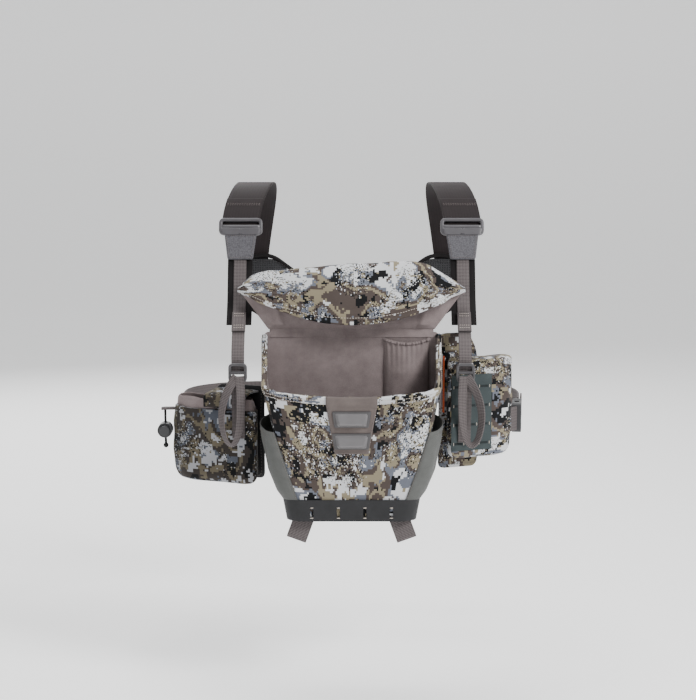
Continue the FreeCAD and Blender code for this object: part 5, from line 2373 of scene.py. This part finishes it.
    def ladder_lock(self) -> None:
        """Ladder lock, its anchor webbing, and the folded stub of webbing above it."""
        name = self.label()
        obj = self.frame_of(
            f"ladder_lock_{name}", 0.0184, 0.0192, 0.0030, 0.0040, 0.0488, (0.0585,), self.beside,
            -0.0413
        )
        dress(obj, ACETAL_DARK, slot="acetal", replaces=("ladder_locks",))
        front, low = (-28.3, -13) if self.side > 0 else (-28.5, -9)
        route = [
            (-41.2, 55), (-42.4, 48.8), (-41.4, 36), (-36.5, (48.8 + low) / 2 + 1),
            (front, low + 14), (front, low)
        ]
        strip = ribbon(
            f"lock_anchor_{name}", self.upright(route, 90), X_AXIS, self.riser_width, 0.0014
        )
        dress(strip, WEBBING, slot="webbing", replaces=("lock_anchors",))
        stub = self.upright([(-23.4, 96), (-15, 104.1), (-5.8, 113)], 40, 0.0021)
        puffy = 1 + 0.25 * np.sin(np.linspace(0, math.pi, 40)) ** 0.5
        obj = ribbon(
            f"riser_tail_{name}", stub, X_AXIS, self.riser_width * 1.08, 0.0026, swell=puffy
        )
        dress(obj, WEBBING)
        rows = []
        for k in (6, 11, 30, 35):
            run = unit(stub[k + 1] - stub[k])
            out = np.array([0.0, -run[2], run[1]])
            x = np.linspace(-0.0052, 0.0052, 12)
            line = stub[k] + np.stack([x, 0 * x, 0 * x], axis=1) + out * 0.0014
            rows.append((line, np.broadcast_to(out, line.shape)))
        dress(stitches(f"riser_tail_stitches_{name}", rows, 1.9, 1.5, 0.4), THREAD_PALE)

    def pull_loop(self) -> None:
        """Pull loop of ribbed webbing: down from the lock, round and back, with a twist."""
        s = self.side
        dx, y, z = np.array(LOOP).T
        path = curve_through(np.stack([s * (self.x + dx), y, z], axis=1), 140)
        t = np.linspace(0, 1, 140)
        turn = np.radians(np.interp(t, [0, 0.3, 0.5, 0.7, 1.0], [8, 30, 62, 45, 10]))
        run = unit(np.gradient(path, axis=0))
        level = unit(np.cross(run, Y_AXIS))
        across = np.cos(turn)[:, None] * level + np.sin(turn)[:, None] * Y_AXIS
        obj = ribbon(f"pull_loop_{self.label()}_webbing", path, across, 0.0088, 0.0014)
        dress(
            obj, WEBBING, body=f"{self.label()}_loop", slot="webbing",
            replaces=(f"pull_loop_{self.label()}",)
        )

    def yoke_tacks(self) -> None:
        """Sewn boxes that hold the shoulder strap and the side strap to the yoke."""
        x = self.side * self.x
        lines = box_tack((x - 0.0155, 0.1195), (x + 0.0155, 0.1465), 0.2332)
        near, far = sorted((self.side * 0.0735, self.side * 0.0985))
        lines += box_tack((near, -0.0090), (far, 0.0090), 0.2333)
        dress(stitches(f"yoke_tacks_{self.label()}", lines, 2.8, 2.0, 0.5, 0.1), THREAD_PALE)

    def side_strap(self) -> None:
        """The side strap round the ribs, and the doubled webbing in the plug."""
        c, s = math.cos(math.radians(self.side_turn)), math.sin(math.radians(self.side_turn))
        first = [(170.0 + u * c, 44.0 + u * s) for u in (62, 112)]
        line = np.array([(self.side * x * MM, y * MM, 0.0) for x, y in first + SIDE_POINTS])
        path = resample(spline_rows(line, 400), 150)
        name = self.label()
        obj = ribbon(f"side_strap_{name}_webbing", path, Z_AXIS, 0.025, 0.0020)
        dress(obj, WEBBING, slot="webbing", replaces=(f"side_strap_{name}",))
        tail = np.array([
            (self.side * (170 + u * c + 2.9 * s) * MM, (44 + u * s - 2.9 * c) * MM, 0.0)
            for u in (36, 60, 96)
        ])
        obj = ribbon(f"plug_tail_{name}", resample(tail, 40), Z_AXIS, 0.025, 0.0018)
        dress(obj, WEBBING, body=f"{name}_plug", slot="webbing", replaces=(f"plug_webbing_{name}",))
        self.yoke_tacks()


def box_tack(low: Pair, high: Pair, y: float) -> List[Tuple[Array, Array]]:
    """A sewn box with a cross in it, on a face that looks along +Y.

    Args:
        low: lower corner.
        high: upper corner.
        y: depth of the stitches.

    Returns:
        For each seam its path and the outward normals along it.
    """
    (x0, z0), (x1, z1) = low, high
    corners = np.array([(x0, y, z0), (x1, y, z0), (x1, y, z1), (x0, y, z1), (x0, y, z0)])
    lines = [corners[k : k + 2] for k in range(4)] + [corners[[0, 2]], corners[[1, 3]]]
    return [(resample(line, 24), np.array([[0, 1.0, 0]] * 24)) for line in lines]


def pad_plate(
    name: str, outline: Array, front: float, back: float, corner: float, edge: float,
    place: Callable[[Array], Array]
) -> Piece:
    """A thin plate with rounded edges, made in its own frame and put in place.

    Args:
        name: name of the piece.
        outline: outline as x and z.
        front: y of its front face.
        back: y of its back face.
        corner: radius of the corners.
        edge: radius of the edge.
        place: from its own frame to the pack's.

    Returns:
        The piece.
    """
    mid, half = (front + back) / 2, (back - front) / 2
    turn = np.linspace(0, math.pi / 2, 4)
    levels = [(1.04, front), (1.5, front), (1.85, front)]
    levels += [(edge * (1 - math.cos(a)), mid - half * math.sin(a)) for a in turn[::-1]]
    levels += [(edge * (1 - math.cos(a)), mid + half * math.sin(a)) for a in turn[1:]]
    levels += [(1.85, back), (1.5, back), (1.04, back)]
    grid = rings(outline, levels, corner, 120)[..., [0, 2, 1]]
    obj = surface(name, place(grid), around=True, caps=True)
    flat_uv(obj)
    return obj


# half of the yoke's outline in millimetres, from the middle of its top round to the middle of its
# foot
YOKE = [
    (0, 112), (30, 112), (90, 156), (132, 150), (120, 100), (62, 62),
    (60, 42), (94, 16), (94, -18), (64, -20), (22, 16), (0, 20),
]


def yoke() -> None:
    """Padded yoke on the back: a mesh cross swelled by pressure, bound at its edge and stitched."""
    outline = np.array(YOKE + [(-x, z) for x, z in YOKE[::-1] if x > 0]) * MM
    pad = pad_of("yoke_pad", outline, 0.2266, 0.2298, 0.012, 0.0014, 320)
    puff(pad, 0.004)
    flat_uv(pad)
    dress(pad, MESH, slot="spacer_mesh", replaces=("yoke",))
    rim = rings(outline, [(0.0006, 0.2282)], 0.012, 420)[0][:, [0, 2, 1]]
    binding = tube("yoke_binding", rim, 0.0023, 10, closed=True)
    dress(binding, ELASTIC)
    lines = []
    for y, sign in ((0.2250, -1.0), (0.2312, 1.0)):
        path = rings(outline, [(0.0085, y)], 0.012, 420)[0][:, [0, 2, 1]]
        lines.append((np.vstack([path, path[:1]]), np.array([[0, sign, 0.0]] * 421)))
    dress(stitches("yoke_stitches", lines, 3.4, 2.4, 0.6), THREAD_DARK)


NODE_FINISHES: Dict[str, Finish] = {
    "frame_sheet": SHEET, "lid_stiffener": SHEET, "base_floor": LAMINATE, "base_band": LAMINATE,
    "flap_hook": ACETAL_DARK, "pouch_right_panel": LAMINATE_GREEN, "zip_slider": STEEL,
    "cord_lock_body": BLACK, "cord_lock_button": BLACK, "cord_lock_spring": STEEL,
    "cord_knot": CORD, "buckle_socket_left": BLACK, "buckle_socket_right": BLACK,
    "buckle_plug_left": BLACK, "buckle_plug_right": BLACK
}


def main() -> None:
    """Build the studio and then the pack, piece by piece."""
    logging.basicConfig(level=logging.INFO, format="%(message)s", stream=sys.stdout)
    Studio().build()
    CordLock().build()
    for side in (-1, 1):
        Harness(side).build()
    MainPouch().build()
    Lid().build()
    RightPouch().build()
    LeftPouch().build()
    yoke()
    for node, finish in NODE_FINISHES.items():
        obj = bpy.data.objects[node]
        if finish.space is Space.CLOTH:
            box_uv(obj)
        obj.data.materials.clear()
        obj.data.materials.append(finish.material())
    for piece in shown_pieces():
        LOG.info("piece %s", piece.name if hasattr(piece, "name") else piece)


if __name__ == "__main__":
    main()
